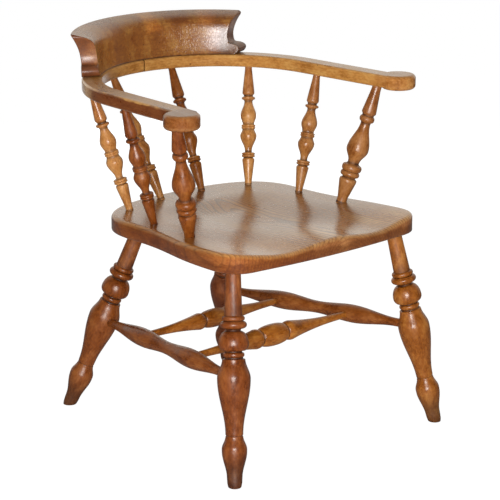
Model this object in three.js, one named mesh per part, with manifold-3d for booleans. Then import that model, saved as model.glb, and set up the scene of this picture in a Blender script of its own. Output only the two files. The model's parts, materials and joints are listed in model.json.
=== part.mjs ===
// Captains chair: a low bow-backed armchair with a saddled seat and turned legs, spindles and stretchers.
// Millimetres, +Z up, the front towards -Y, left and right as seen from the front.
// The origin is on the floor, under the middle of the chair.
import * as THREE from 'three';
import { mergeVertices } from 'three/addons/utils/BufferGeometryUtils.js';
import Module from 'manifold-3d';

const wasm = await Module();
wasm.setup();

// Gaps and cutters
const GLUE_GAP = 0.3;
const OVERRUN = 6;
const CUTTER_REACH = 900;

// Seat: one thick board, dished for the sitter, with a low ridge in the middle of the front edge
const SEAT = {
  topZ: 430,
  thickness: 34,
  frontY: -301.5,
  frontBow: 10,
  frontHalfWidth: 250,
  frontCorner: 64,
  waistHalfWidth: 225,
  waistY: 38.5,
  backY: 188.5,
  topRounding: 9,
  bottomChamfer: 8,
};
const SADDLE = {
  dishDepth: 11,
  dishHalfWidth: 175,
  dishBackY: 95,
  hollowStartY: -75,
  hollowDepth: 10,
  hollowX: 122,
  cornerRise: 5,
};
const SEAT_BACK_HANDLE_SHARES = { sideX: 1.03, sideY: 0.795, backX: 0.633 };
const SEAT_RING_SHARES = [0.22, 0.42, 0.58, 0.72, 0.84, 0.94];
const SEAT_HALF_POINTS = 24;

// Arm bow: two bent arms that meet at the middle of the back and end in round hands
const BOW = {
  undersideZ: 667,
  thickness: 25.5,
  width: 39.5,
  overhang: 25.5,
  centreSetback: 2.5,
  straight: 237,
  edgeRounding: 4,
};
const ARM_SPLAY_DEG = 3.6;
const HAND = { radius: 34.5, outset: 16.5, drop: 4 };
const ARM_ARC_STEPS = 12;
const HAND_STEPS = 18;

// Crest rail: sits on the back of the bow, scooped in front and flared at the top
const CREST = {
  depth: 60,
  middleHeight: 86.5,
  endHeight: 84,
  endReach: 16.4,
  edgeThickness: 0.3,
};
const CREST_HALF_ANGLE_DEG = 49;
const CREST_BASE_DEPTH_SHARE = BOW.width / CREST.depth;
const CREST_FRONT_CURVE = { leanShare: 0.24, leanPower: 0.55, flarePower: 10.5 };
const CREST_BACK_POWER = 2.6;
const CREST_COLUMNS = 18;
// Each end of the crest, from the bow up: a roll, a groove, then a hollow that runs out to the top corner.
// Height as a share of the crest's height, reach past the base as a share of the end reach.
const CREST_END_SHARES = [
  [0, -0.18], [0.03, 0.2], [0.12, 0.47], [0.2, 0.35], [0.25, -0.1], [0.27, -0.73], [0.34, -0.9],
  [0.46, -1], [0.6, -0.95], [0.74, -0.8], [0.84, -0.64], [0.91, -0.5], [0.96, -0.45], [1, -0.5],
];
// The ends are cut askew and look a little forward: reach gained for each millimetre of depth
const CREST_END_TURN_SHARE = 0.25;

// Screws that hold the crest down on the bow, driven from below
const SCREW = { shankRadius: 2.4, headRadius: 4.6, headHeight: 3.2, grip: 32 };
const SCREW_ANGLES_DEG = [-34, -8, 8, 34];

// Legs: raked and splayed turnings, all to one pattern as long as the seat's underside is high.
// Their tops are set in from the seat's front corners and from its waist and back edge.
const LEG = {
  widestRadius: 31.5,
  tenonDepth: 19,
  frontInset: { x: 38.6, y: 57 },
  frontSplay: { x: 58.3, y: 69.8 },
  backInset: { x: 119, y: 39.5 },
  backSplay: { x: 110.8, y: 111.4 },
};
const LEG_SEGMENTS = 10;
// Rows of a turning: the shape, then its start and end along the piece as shares of its length,
// then its start radius and its end or peak radius as shares of the widest radius
const LEG_TURNING_SHARES = [
  ['curve', 0, 0.177, 0.403, 0.762],
  ['curve', 0.177, 0.225, 0.762, 0.66],
  ['line', 0.227, 0.236, 0.62, 0.46],
  ['line', 0.244, 0.264, 0.46, 0.46],
  ['curve', 0.264, 0.516, 0.46, 1],
  ['curve', 0.516, 0.626, 1, 0.715],
  ['bead', 0.628, 0.648, 0.57, 0.63],
  ['line', 0.65, 0.656, 0.49, 0.49],
  ['ball', 0.658, 0.759, 0.52, 0.873],
  ['line', 0.762, 0.769, 0.476, 0.476],
  ['bead', 0.772, 0.815, 0.54, 0.73],
  ['bead', 0.815, 0.838, 0.54, 0.613],
  ['line', 0.839, 1, 0.448, 0.403],
];

// Spindles between the seat and the bow
const SPINDLE = { widestRadius: 17, seatInset: 33.3, seatTenon: 16, armTenon: 14 };
const SPINDLE_SEGMENTS = 8;
const SPINDLE_TURNING_SHARES = [
  ['line', 0, 0.03, 0.43, 0.43],
  ['line', 0.03, 0.2, 0.43, 0.74],
  ['line', 0.213, 0.224, 0.74, 0.56],
  ['bead', 0.229, 0.248, 0.65, 0.82],
  ['bead', 0.248, 0.267, 0.65, 0.82],
  ['line', 0.27, 0.285, 0.43, 0.43],
  ['curve', 0.285, 0.41, 0.43, 1],
  ['curve', 0.41, 0.465, 1, 0.74],
  ['bead', 0.467, 0.484, 0.74, 0.88],
  ['bead', 0.484, 0.501, 0.74, 0.88],
  ['curve', 0.504, 0.577, 0.7, 0.97],
  ['curve', 0.577, 0.7, 0.97, 0.49],
  ['bead', 0.712, 0.737, 0.6, 0.82],
  ['line', 0.74, 0.746, 0.55, 0.55],
  ['curve', 0.746, 0.768, 0.55, 0.735],
  ['line', 0.78, 0.97, 0.73, 0.43],
  ['line', 0.97, 1, 0.43, 0.43],
];

// The stouter spindle under each hand
const POST = { widestRadius: 22.5, seatInset: 39, seatTenon: 18, armTenon: 16 };
const POST_SEGMENTS = 10;
const POST_TURNING_SHARES = [
  ['line', 0, 0.04, 0.467, 0.467],
  ['line', 0.04, 0.18, 0.467, 0.79],
  ['line', 0.198, 0.21, 0.77, 0.55],
  ['bead', 0.22, 0.264, 0.66, 0.87],
  ['bead', 0.264, 0.321, 0.7, 0.9],
  ['line', 0.323, 0.336, 0.62, 0.5],
  ['curve', 0.342, 0.452, 0.52, 1],
  ['curve', 0.452, 0.675, 1, 0.44],
  ['bead', 0.685, 0.736, 0.5, 0.68],
  ['line', 0.738, 0.744, 0.53, 0.53],
  ['curve', 0.744, 0.765, 0.53, 0.66],
  ['line', 0.775, 0.96, 0.65, 0.42],
  ['line', 0.96, 1, 0.42, 0.42],
];

// Where the upright turnings stand: a share of the way round the seat's edge from the front to the back,
// then a share of the way along the bow from the middle of the back to the end of the arm
const POST_PLACE_SHARES = [0.479, 0.935];
const SPINDLE_PLACE_SHARES = [[0.607, 0.667], [0.79, 0.394], [0.935, 0.128]];

// Side stretchers, with two swells, and cross stretchers, with a barrel between two long vases
const SIDE_STRETCHER = {
  widestRadius: 18.5,
  frontHeight: 205,
  backHeight: 197.5,
  axisGap: 13,
  clearOfLeg: 40,
};
const SIDE_SEGMENTS = 10;
const SIDE_END_RADIUS_SHARE = 0.46;
const SIDE_TURNING_SHARES = [
  ['curve', 0.085, 0.31, 0.46, 1],
  ['curve', 0.31, 0.49, 1, 0.68],
  ['curve', 0.49, 0.67, 0.68, 1],
  ['curve', 0.67, 0.915, 1, 0.46],
];
const CROSS_STRETCHER = { frontRadius: 22, backRadius: 19, tenonRadius: 7, axisGap: 5 };
const CROSS_FRONT_SHARE = 0.322;
const CROSS_BACK_SHARE = 0.686;
const CROSS_SEGMENTS = 10;
const CROSS_SHOULDER_SHARES = { barrel: 0.15, groove: 0.155, shoulder: 0.215, end: 0.9 };
const CROSS_RADIUS_SHARES = { groove: 0.64, shoulder: 0.9, barrelEnd: 0.68 };
const CROSS_TAPER_POWER = 2.2;
const CROSS_TAPER_STEPS = 5;
const CROSS_RISE_STEPS = 2;

const CURVE_STEPS = 3;
const BEAD_STEPS = 3;
const BALL_STEPS = 5;
const PEG_SEGMENTS = 8;

// Places worked out from the sizes above
const SEAT_BOTTOM_Z = SEAT.topZ - SEAT.thickness;
const SEAT_MIDDLE = new THREE.Vector2(0, (SEAT.frontY + SEAT.backY) / 2);
const BOW_TOP_Z = BOW.undersideZ + BOW.thickness;
const BOW_RADIUS = SEAT.waistHalfWidth + BOW.overhang;
const BOW_CENTRE_Y = SEAT.waistY - BOW.centreSetback;
const SPLAY = THREE.MathUtils.degToRad(ARM_SPLAY_DEG);
const BOW_ARC_LENGTH = BOW_RADIUS * (Math.PI / 2 - SPLAY);
const BOW_LENGTH = BOW_ARC_LENGTH + BOW.straight;
const CREST_HALF_ANGLE = THREE.MathUtils.degToRad(CREST_HALF_ANGLE_DEG);
const FRONT_LEG = legPlace(
  SEAT.frontHalfWidth - LEG.frontInset.x,
  SEAT.frontY + LEG.frontInset.y,
  LEG.frontSplay.x,
  -LEG.frontSplay.y,
);
const BACK_LEG = legPlace(
  SEAT.waistHalfWidth - LEG.backInset.x,
  SEAT.backY - LEG.backInset.y,
  LEG.backSplay.x,
  LEG.backSplay.y,
);
const UP = new THREE.Vector3(0, 1, 0);
const SIDES = [{ name: 'left', sign: -1 }, { name: 'right', sign: 1 }];

// Woods and metal
const wood = (color, roughness) => new THREE.MeshStandardMaterial({ color, roughness, metalness: 0 });
const SEAT_WOOD = wood(0x8f6c50, 0.35);
const TURNED_WOOD = wood(0x7d3f1c, 0.3);
const BOW_WOOD = wood(0x9a6330, 0.32);
const CREST_WOOD = wood(0x915427, 0.3);
const SCREW_STEEL = new THREE.MeshStandardMaterial({ color: 0x6d6a66, roughness: 0.45, metalness: 1 });

const chair = new THREE.Group();

// Where the axis of a right leg meets the seat's underside and the floor
function legPlace(x, y, outward, along) {
  const top = new THREE.Vector2(x, y);
  return { top, foot: new THREE.Vector2(x + outward, y + along) };
}

// Closed meshes to solids and back

function solidFrom(geometry) {
  const plain = geometry.clone();
  plain.deleteAttribute('normal');
  plain.deleteAttribute('uv');
  const merged = mergeVertices(plain);
  const mesh = new wasm.Mesh({
    numProp: 3,
    vertProperties: new Float32Array(merged.attributes.position.array),
    triVerts: new Uint32Array(merged.index.array),
  });
  return new wasm.Manifold(mesh);
}

function geometryFrom(solid) {
  const mesh = solid.getMesh();
  const geometry = new THREE.BufferGeometry();
  const places = new Float32Array(mesh.vertProperties);
  geometry.setAttribute('position', new THREE.BufferAttribute(places, mesh.numProp));
  geometry.setIndex(new THREE.BufferAttribute(new Uint32Array(mesh.triVerts), 1));
  return geometry;
}

function worldSolid(mesh) {
  mesh.updateMatrixWorld(true);
  return solidFrom(mesh.geometry.clone().applyMatrix4(mesh.matrixWorld));
}

// Cuts the cutters, given in the chair's frame, out of a placed mesh
function carve(mesh, cutters) {
  const cut = cutters.reduce((solid, cutter) => solid.subtract(cutter), worldSolid(mesh));
  mesh.geometry = geometryFrom(cut).applyMatrix4(mesh.matrixWorld.clone().invert());
}

function addMesh(name, geometry, material) {
  const mesh = new THREE.Mesh(geometry, material);
  mesh.name = name;
  chair.add(mesh);
  return mesh;
}

// Stands a piece made along +Y at one point so that it runs towards another
function aim(mesh, from, to) {
  mesh.position.copy(from);
  mesh.quaternion.setFromUnitVectors(UP, to.clone().sub(from).normalize());
}

// A round cutter from one point to another, whose flat sides clear that radius
function borer(from, to, radius) {
  const length = from.distanceTo(to);
  const corner = radius / Math.cos(Math.PI / PEG_SEGMENTS);
  const bore = new THREE.CylinderGeometry(corner, corner, length, PEG_SEGMENTS).translate(0, length / 2, 0);
  const mesh = new THREE.Mesh(bore);
  aim(mesh, from, to);
  return worldSolid(mesh);
}

function blockCutter(lowX, lowZ, highX, highZ) {
  const block = new THREE.BoxGeometry(highX - lowX, CUTTER_REACH, highZ - lowZ);
  return solidFrom(block.translate((lowX + highX) / 2, 0, (lowZ + highZ) / 2));
}

// Turned outlines

const eased = (t) => (1 - Math.cos(Math.PI * t)) / 2;

function turningRow([shape, start, end, startRadius, endRadius]) {
  const at = (t, radius) => new THREE.Vector2(radius, start + (end - start) * t);
  if (shape === 'line') return [at(0, startRadius), at(1, endRadius)];
  if (shape === 'curve') {
    return Array.from({ length: CURVE_STEPS + 1 }, (_, step) => {
      const t = step / CURVE_STEPS;
      return at(t, startRadius + (endRadius - startRadius) * eased(t));
    });
  }
  const steps = shape === 'ball' ? BALL_STEPS : BEAD_STEPS;
  return Array.from({ length: steps + 1 }, (_, step) => {
    const angle = (Math.PI * step) / steps;
    return at((1 - Math.cos(angle)) / 2, startRadius + (endRadius - startRadius) * Math.sin(angle));
  });
}

function turnedOutline(rows, length, widestRadius) {
  const points = rows.flatMap(turningRow);
  return points.map((point) => new THREE.Vector2(point.x * widestRadius, point.y * length));
}

// Closes an outline on the axis and runs both ends on as straight tenons
function turnedGeometry(outline, lowEnd, highEnd, segments) {
  const first = outline[0];
  const last = outline[outline.length - 1];
  const closed = [
    new THREE.Vector2(0, lowEnd),
    new THREE.Vector2(first.x, lowEnd),
    ...outline,
    new THREE.Vector2(last.x, highEnd),
    new THREE.Vector2(0, highEnd),
  ];
  const distinct = closed.filter((point, index) => index === 0 || point.distanceTo(closed[index - 1]) > 0);
  return new THREE.LatheGeometry(distinct, segments);
}

// Seat

function seatHalfOutline() {
  const { frontHalfWidth, frontCorner, frontBow, waistHalfWidth, waistY, frontY, backY } = SEAT;
  const shares = SEAT_BACK_HANDLE_SHARES;
  const cornerY = frontY + frontBow;
  const path = new THREE.Path();
  path.moveTo(0, frontY);
  path.quadraticCurveTo((frontHalfWidth - frontCorner) / 2, frontY, frontHalfWidth - frontCorner, cornerY);
  path.quadraticCurveTo(frontHalfWidth, cornerY, frontHalfWidth, cornerY + frontCorner);
  path.bezierCurveTo(
    frontHalfWidth, (cornerY + frontCorner + waistY) / 2,
    waistHalfWidth, (cornerY + frontCorner + waistY) / 2,
    waistHalfWidth, waistY,
  );
  path.bezierCurveTo(
    waistHalfWidth * shares.sideX, waistY + (backY - waistY) * shares.sideY,
    waistHalfWidth * shares.backX, backY,
    0, backY,
  );
  return path;
}

// The outline all the way round, counterclockwise from the middle of the front
function seatOutline() {
  const right = seatHalfOutline().getSpacedPoints(SEAT_HALF_POINTS);
  const left = right.slice(1, -1).reverse().map((point) => new THREE.Vector2(-point.x, point.y));
  return [...right, ...left];
}

function smoothRamp(value, from, to) {
  return THREE.MathUtils.smoothstep((value - from) / (to - from), 0, 1);
}

// How far the saddled top lies below the rim
function saddleDrop(x, y) {
  const across = Math.min(Math.abs(x) / SADDLE.dishHalfWidth, 1);
  const towardsBack = smoothRamp(y, 0, SADDLE.dishBackY);
  const dish = SADDLE.dishDepth * Math.cos((Math.PI / 2) * across) ** 2 * (1 - towardsBack);
  const hollowAcross = Math.min(Math.abs(x) / (2 * SADDLE.hollowX), 1);
  const hollow = SADDLE.hollowDepth * Math.sin(Math.PI * hollowAcross) ** 2;
  const corner = SADDLE.cornerRise * smoothRamp(Math.abs(x), SADDLE.hollowX, SEAT.frontHalfWidth);
  const towardsFront = smoothRamp(-y, -SADDLE.hollowStartY, -SEAT.frontY);
  return dish * (1 - towardsFront) + (hollow - corner) * towardsFront;
}

function inwardNormals(outline) {
  return outline.map((_, index) => {
    const before = outline[(index + outline.length - 1) % outline.length];
    const after = outline[(index + 1) % outline.length];
    return new THREE.Vector2(before.y - after.y, after.x - before.x).normalize();
  });
}

// Rings from the middle of the top, over the rounded edge, to the middle of the underside
function seatRings(outline) {
  const normals = inwardNormals(outline);
  const onTop = ({ x, y }, drop) => new THREE.Vector3(x, y, SEAT.topZ - saddleDrop(x, y) - drop);
  const inset = (index, distance) => outline[index].clone().addScaledVector(normals[index], distance);
  const rings = SEAT_RING_SHARES.map((share) => outline.map((_, index) => {
    return onTop(SEAT_MIDDLE.clone().lerp(inset(index, SEAT.topRounding), share), 0);
  }));
  for (const angle of [0, Math.PI / 4, Math.PI / 2]) {
    const distance = SEAT.topRounding * (1 - Math.sin(angle));
    const drop = SEAT.topRounding * (1 - Math.cos(angle));
    rings.push(outline.map((_, index) => onTop(inset(index, distance), drop)));
  }
  const chamfer = SEAT.bottomChamfer;
  rings.push(outline.map((point) => new THREE.Vector3(point.x, point.y, SEAT_BOTTOM_Z + chamfer / 2)));
  rings.push(outline.map((_, index) => {
    const point = inset(index, chamfer);
    return new THREE.Vector3(point.x, point.y, SEAT_BOTTOM_Z);
  }));
  return rings;
}

// Joins rings of equal size into a closed skin, with a fan over each end
function skinGeometry(rings, start, end) {
  const points = [start, ...rings.flat(), end];
  const count = rings[0].length;
  const faces = [];
  const at = (ring, index) => 1 + ring * count + (index % count);
  const last = points.length - 1;
  for (let index = 0; index < count; index += 1) {
    faces.push(0, at(0, index), at(0, index + 1));
    for (let ring = 0; ring + 1 < rings.length; ring += 1) {
      faces.push(at(ring, index), at(ring + 1, index), at(ring + 1, index + 1));
      faces.push(at(ring, index), at(ring + 1, index + 1), at(ring, index + 1));
    }
    faces.push(last, at(rings.length - 1, index + 1), at(rings.length - 1, index));
  }
  const geometry = new THREE.BufferGeometry().setFromPoints(points);
  geometry.setIndex(faces);
  return geometry;
}

function makeSeat() {
  const middle = SEAT_MIDDLE;
  const top = new THREE.Vector3(middle.x, middle.y, SEAT.topZ - saddleDrop(middle.x, middle.y));
  const bottom = new THREE.Vector3(middle.x, middle.y, SEAT_BOTTOM_Z);
  return addMesh('seat', skinGeometry(seatRings(seatOutline()), top, bottom), SEAT_WOOD);
}

// A place on the seat's top, inset from a share of the way round one side
function seatStation(share, inset, sign) {
  const path = seatHalfOutline();
  const edge = path.getPointAt(share);
  const along = path.getTangentAt(share);
  const x = edge.x - along.y * inset;
  const y = edge.y + along.x * inset;
  return new THREE.Vector3(sign * x, y, SEAT.topZ - saddleDrop(x, y));
}

// Arm bow

// A place on the bow's centre line, that far from the middle of the back, and the direction out of the bow
function bowPoint(distance) {
  const onArc = Math.min(distance, BOW_ARC_LENGTH);
  const angle = Math.PI / 2 - onArc / BOW_RADIUS;
  const outward = new THREE.Vector2(Math.cos(angle), Math.sin(angle));
  const point = outward.clone().multiplyScalar(BOW_RADIUS).add(new THREE.Vector2(0, BOW_CENTRE_Y));
  const forward = new THREE.Vector2(outward.y, -outward.x);
  point.addScaledVector(forward, distance - onArc);
  return { point, outward };
}

function bowStation(share, sign) {
  const { point } = bowPoint(share * BOW_LENGTH);
  return new THREE.Vector3(sign * point.x, point.y, BOW.undersideZ);
}

function roundedSlab(outline, lowZ, highZ) {
  const rounding = BOW.edgeRounding;
  const geometry = new THREE.ExtrudeGeometry(new THREE.Shape(outline), {
    depth: highZ - lowZ - 2 * rounding,
    bevelEnabled: true,
    bevelThickness: rounding,
    bevelSize: rounding,
    bevelOffset: -rounding,
    bevelSegments: 2,
    curveSegments: HAND_STEPS,
  });
  return solidFrom(geometry.translate(0, 0, lowZ + rounding));
}

function armBand() {
  const distances = [-BOW.width];
  for (let step = 0; step <= ARM_ARC_STEPS; step += 1) {
    distances.push((BOW_ARC_LENGTH * step) / ARM_ARC_STEPS);
  }
  distances.push(BOW_LENGTH);
  const edge = (offset) => distances.map((distance) => {
    const { point, outward } = bowPoint(distance);
    return point.addScaledVector(outward, offset);
  });
  const outline = [...edge(-BOW.width / 2), ...edge(BOW.width / 2).reverse()];
  return roundedSlab(outline, BOW.undersideZ, BOW_TOP_Z);
}

function armHand() {
  const { point, outward } = bowPoint(BOW_LENGTH);
  const centre = point.addScaledVector(outward, HAND.outset);
  const outline = Array.from({ length: HAND_STEPS }, (_, step) => {
    const angle = (2 * Math.PI * step) / HAND_STEPS;
    const spoke = new THREE.Vector2(Math.cos(angle), Math.sin(angle));
    return spoke.multiplyScalar(HAND.radius).add(centre);
  });
  return roundedSlab(outline, BOW.undersideZ - HAND.drop, BOW_TOP_Z);
}

// The right arm, cut square at the middle of the back; the left one is its mirror image
function makeArm(side) {
  const far = blockCutter(-CUTTER_REACH, 0, GLUE_GAP / 2, CUTTER_REACH);
  const arm = armBand().add(armHand()).subtract(far);
  const placed = side.sign > 0 ? arm : arm.mirror([1, 0, 0]);
  return addMesh(`arm_${side.name}`, geometryFrom(placed), BOW_WOOD);
}

// Crest rail

function crestFrontDepth(heightShare) {
  const { leanShare, leanPower, flarePower } = CREST_FRONT_CURVE;
  return CREST.depth * (leanShare * heightShare ** leanPower + (1 - leanShare) * heightShare ** flarePower);
}

function crestBackDepth(heightShare) {
  const base = CREST_BASE_DEPTH_SHARE;
  const flare = CREST.depth * (base + (1 - base) * heightShare ** CREST_BACK_POWER);
  return flare + CREST.edgeThickness * heightShare;
}

// A point of the crest's skin: how far along it, at which height and how deep behind the bow's inner edge
function crestPoint(along, heightShare, reachShare, depth) {
  const innerRadius = BOW_RADIUS - BOW.width / 2;
  const reach = reachShare * CREST.endReach + CREST_END_TURN_SHARE * depth;
  const angle = along * (CREST_HALF_ANGLE + reach / innerRadius);
  const height = CREST.endHeight + (CREST.middleHeight - CREST.endHeight) * (1 - along ** 2);
  const radius = innerRadius + depth;
  return new THREE.Vector3(
    radius * Math.sin(angle),
    BOW_CENTRE_Y + radius * Math.cos(angle),
    BOW_TOP_Z + GLUE_GAP + height * heightShare,
  );
}

// One closed ring of the section for each column: up the front and down the back
function crestRings() {
  return Array.from({ length: CREST_COLUMNS + 1 }, (_, column) => {
    const along = (2 * column) / CREST_COLUMNS - 1;
    const face = (depthAt) => CREST_END_SHARES.map(([height, reach]) => {
      return crestPoint(along, height, reach, depthAt(height));
    });
    return [...face(crestFrontDepth), ...face(crestBackDepth).reverse()];
  });
}

// The rings as a skin, with a strip between front and back over each hollowed end
function crestGeometry() {
  const rings = crestRings();
  const count = rings[0].length;
  const faces = [];
  const at = (ring, index) => ring * count + (index % count);
  const quad = (a, b, c, d) => faces.push(a, b, c, a, c, d);
  for (let ring = 0; ring + 1 < rings.length; ring += 1) {
    for (let index = 0; index < count; index += 1) {
      quad(at(ring, index), at(ring + 1, index), at(ring + 1, index + 1), at(ring, index + 1));
    }
  }
  const final = rings.length - 1;
  for (let index = 0; index + 1 < CREST_END_SHARES.length; index += 1) {
    const across = count - 1 - index;
    quad(at(0, index), at(0, index + 1), at(0, across - 1), at(0, across));
    quad(at(final, index + 1), at(final, index), at(final, across), at(final, across - 1));
  }
  const geometry = new THREE.BufferGeometry().setFromPoints(rings.flat());
  geometry.setIndex(faces);
  return geometry;
}

function makeCrest() {
  return addMesh('crest_rail', crestGeometry(), CREST_WOOD);
}

// Crest screws

function screwPlace(angleDeg) {
  const angle = THREE.MathUtils.degToRad(angleDeg);
  const y = BOW_CENTRE_Y + BOW_RADIUS * Math.cos(angle);
  return new THREE.Vector3(BOW_RADIUS * Math.sin(angle), y, BOW.undersideZ);
}

// A countersunk screw along +Y from its flat head, or the hole for it when a gap is given
function screwGeometry(gap, below) {
  const { shankRadius, headRadius, headHeight, grip } = SCREW;
  const length = BOW.thickness + grip;
  const outline = [
    new THREE.Vector2(0, -below),
    new THREE.Vector2(headRadius + gap, -below),
    new THREE.Vector2(headRadius + gap, gap),
    new THREE.Vector2(shankRadius + gap, headHeight + gap),
    new THREE.Vector2(shankRadius + gap, length + gap),
    new THREE.Vector2(0, length + gap),
  ];
  return new THREE.LatheGeometry(outline, PEG_SEGMENTS);
}

function placedScrew(mesh, angleDeg) {
  const foot = screwPlace(angleDeg);
  aim(mesh, foot, foot.clone().setZ(BOW_TOP_Z));
  return mesh;
}

function makeScrews(arms, crest) {
  SCREW_ANGLES_DEG.forEach((angleDeg, index) => {
    const drill = new THREE.Mesh(screwGeometry(GLUE_GAP, OVERRUN));
    const hole = worldSolid(placedScrew(drill, angleDeg));
    carve(angleDeg < 0 ? arms.left : arms.right, [hole]);
    carve(crest, [hole]);
    placedScrew(addMesh(`crest_screw_${index + 1}`, screwGeometry(0, 0), SCREW_STEEL), angleDeg);
  });
}

// Legs

function legAxis(end, sign) {
  const { top, foot } = end === 'front' ? FRONT_LEG : BACK_LEG;
  const from = new THREE.Vector3(sign * foot.x, foot.y, 0);
  const towards = new THREE.Vector3(sign * top.x, top.y, SEAT_BOTTOM_Z);
  return { from, towards, direction: towards.clone().sub(from).normalize() };
}

const pointOnLeg = (axis, distance) => axis.from.clone().addScaledVector(axis.direction, distance);

function makeLeg(side, end, seat) {
  const axis = legAxis(end, side.sign);
  const visible = axis.from.distanceTo(axis.towards);
  const outline = turnedOutline(LEG_TURNING_SHARES, SEAT_BOTTOM_Z, LEG.widestRadius);
  const stemRadius = outline[outline.length - 1].x;
  const geometry = turnedGeometry(outline, -OVERRUN, visible + LEG.tenonDepth, LEG_SEGMENTS);
  const leg = addMesh(`leg_${end}_${side.name}`, geometry, TURNED_WOOD);
  aim(leg, axis.from, axis.towards);
  carve(leg, [blockCutter(-CUTTER_REACH, -CUTTER_REACH, CUTTER_REACH, 0)]);
  const socketStart = pointOnLeg(axis, visible - stemRadius - OVERRUN);
  const socketEnd = pointOnLeg(axis, visible + LEG.tenonDepth + GLUE_GAP);
  carve(seat, [borer(socketStart, socketEnd, stemRadius + GLUE_GAP)]);
  return { leg, axis };
}

// Spindles and posts

function makeUpright(name, turning, [seatShare, bowShare], side, seat, arm) {
  const { size, rows, segments } = turning;
  const foot = seatStation(seatShare, size.seatInset, side.sign);
  const head = bowStation(bowShare, side.sign);
  const visible = foot.distanceTo(head);
  const outline = turnedOutline(rows, visible, size.widestRadius);
  const geometry = turnedGeometry(outline, -size.seatTenon, visible + size.armTenon, segments);
  aim(addMesh(name, geometry, TURNED_WOOD), foot, head);
  const direction = head.clone().sub(foot).normalize();
  const along = (distance) => foot.clone().addScaledVector(direction, distance);
  const footRadius = outline[0].x + GLUE_GAP;
  const headRadius = outline[outline.length - 1].x + GLUE_GAP;
  const seatSocket = borer(along(-size.seatTenon - GLUE_GAP), along(OVERRUN), footRadius);
  const armSocketEnd = along(visible + size.armTenon + GLUE_GAP);
  carve(seat, [seatSocket]);
  carve(arm, [borer(along(visible - OVERRUN), armSocketEnd, headRadius)]);
}

function makeUprights(side, seat, arm) {
  const post = { size: POST, rows: POST_TURNING_SHARES, segments: POST_SEGMENTS };
  const spindle = { size: SPINDLE, rows: SPINDLE_TURNING_SHARES, segments: SPINDLE_SEGMENTS };
  makeUpright(`arm_post_${side.name}`, post, POST_PLACE_SHARES, side, seat, arm);
  SPINDLE_PLACE_SHARES.forEach((place, index) => {
    makeUpright(`spindle_${side.name}_${index + 1}`, spindle, place, side, seat, arm);
  });
}

// Stretchers

// Puts a stretcher between two points, its ends that far short of them, and bores the pieces that take them
function joinStretcher(mesh, from, to, axisGap, endRadius, reach, takers) {
  aim(mesh, from, to);
  const direction = to.clone().sub(from).normalize();
  const socket = (start, sign) => borer(
    start.clone().addScaledVector(direction, sign * (axisGap - GLUE_GAP)),
    start.clone().addScaledVector(direction, sign * reach),
    endRadius + GLUE_GAP,
  );
  carve(takers[0], [socket(from, 1)]);
  carve(takers[1], [socket(to, -1)]);
}

function makeSideStretcher(side, front, back) {
  const size = SIDE_STRETCHER;
  const from = pointOnLeg(front.axis, size.frontHeight);
  const to = pointOnLeg(back.axis, size.backHeight);
  const length = from.distanceTo(to);
  const endRadius = size.widestRadius * SIDE_END_RADIUS_SHARE;
  const outline = turnedOutline(SIDE_TURNING_SHARES, length, size.widestRadius);
  const geometry = turnedGeometry(outline, size.axisGap, length - size.axisGap, SIDE_SEGMENTS);
  const stretcher = addMesh(`stretcher_side_${side.name}`, geometry, TURNED_WOOD);
  joinStretcher(stretcher, from, to, size.axisGap, endRadius, size.clearOfLeg, [front.leg, back.leg]);
  return { stretcher, from, to };
}

// One end of a cross stretcher, from the groove beside the barrel to the thin end
function crossVase(half, radius, endRadius) {
  const { groove, shoulder, end } = CROSS_SHOULDER_SHARES;
  const grooveRadius = radius * CROSS_RADIUS_SHARES.groove;
  const shoulderRadius = radius * CROSS_RADIUS_SHARES.shoulder;
  const rise = Array.from({ length: CROSS_RISE_STEPS + 1 }, (_, step) => {
    const angle = ((Math.PI / 2) * step) / CROSS_RISE_STEPS;
    const share = groove + (shoulder - groove) * (1 - Math.cos(angle));
    const thickness = grooveRadius + (shoulderRadius - grooveRadius) * Math.sin(angle);
    return new THREE.Vector2(thickness, half * share);
  });
  const fall = Array.from({ length: CROSS_TAPER_STEPS }, (_, step) => {
    const t = (step + 1) / CROSS_TAPER_STEPS;
    const thin = endRadius + (shoulderRadius - endRadius) * (1 - t) ** CROSS_TAPER_POWER;
    return new THREE.Vector2(thin, half * (shoulder + (end - shoulder) * t));
  });
  return [...rise, ...fall];
}

function crossOutline(length, radius, endRadius) {
  const half = length / 2;
  const barrel = CROSS_SHOULDER_SHARES.barrel;
  const barrelRow = ['ball', -barrel, barrel, CROSS_RADIUS_SHARES.barrelEnd, 1];
  const middle = turnedOutline([barrelRow], half, radius);
  const vase = crossVase(half, radius, endRadius);
  const mirrored = vase.map((point) => new THREE.Vector2(point.x, -point.y)).reverse();
  return [...mirrored, ...middle, ...vase].map((point) => new THREE.Vector2(point.x, point.y + half));
}

function makeCrossStretcher(end, radius, share, left, right) {
  const from = left.from.clone().lerp(left.to, share);
  const to = right.from.clone().lerp(right.to, share);
  const length = from.distanceTo(to);
  const { tenonRadius, axisGap } = CROSS_STRETCHER;
  const outline = crossOutline(length, radius, tenonRadius);
  const geometry = turnedGeometry(outline, axisGap, length - axisGap, CROSS_SEGMENTS);
  const stretcher = addMesh(`stretcher_cross_${end}`, geometry, TURNED_WOOD);
  const reach = SIDE_STRETCHER.widestRadius + OVERRUN;
  joinStretcher(stretcher, from, to, axisGap, tenonRadius, reach, [left.stretcher, right.stretcher]);
}

// The whole chair

const seat = makeSeat();
const arms = Object.fromEntries(SIDES.map((side) => [side.name, makeArm(side)]));
const crest = makeCrest();
makeScrews(arms, crest);

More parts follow.
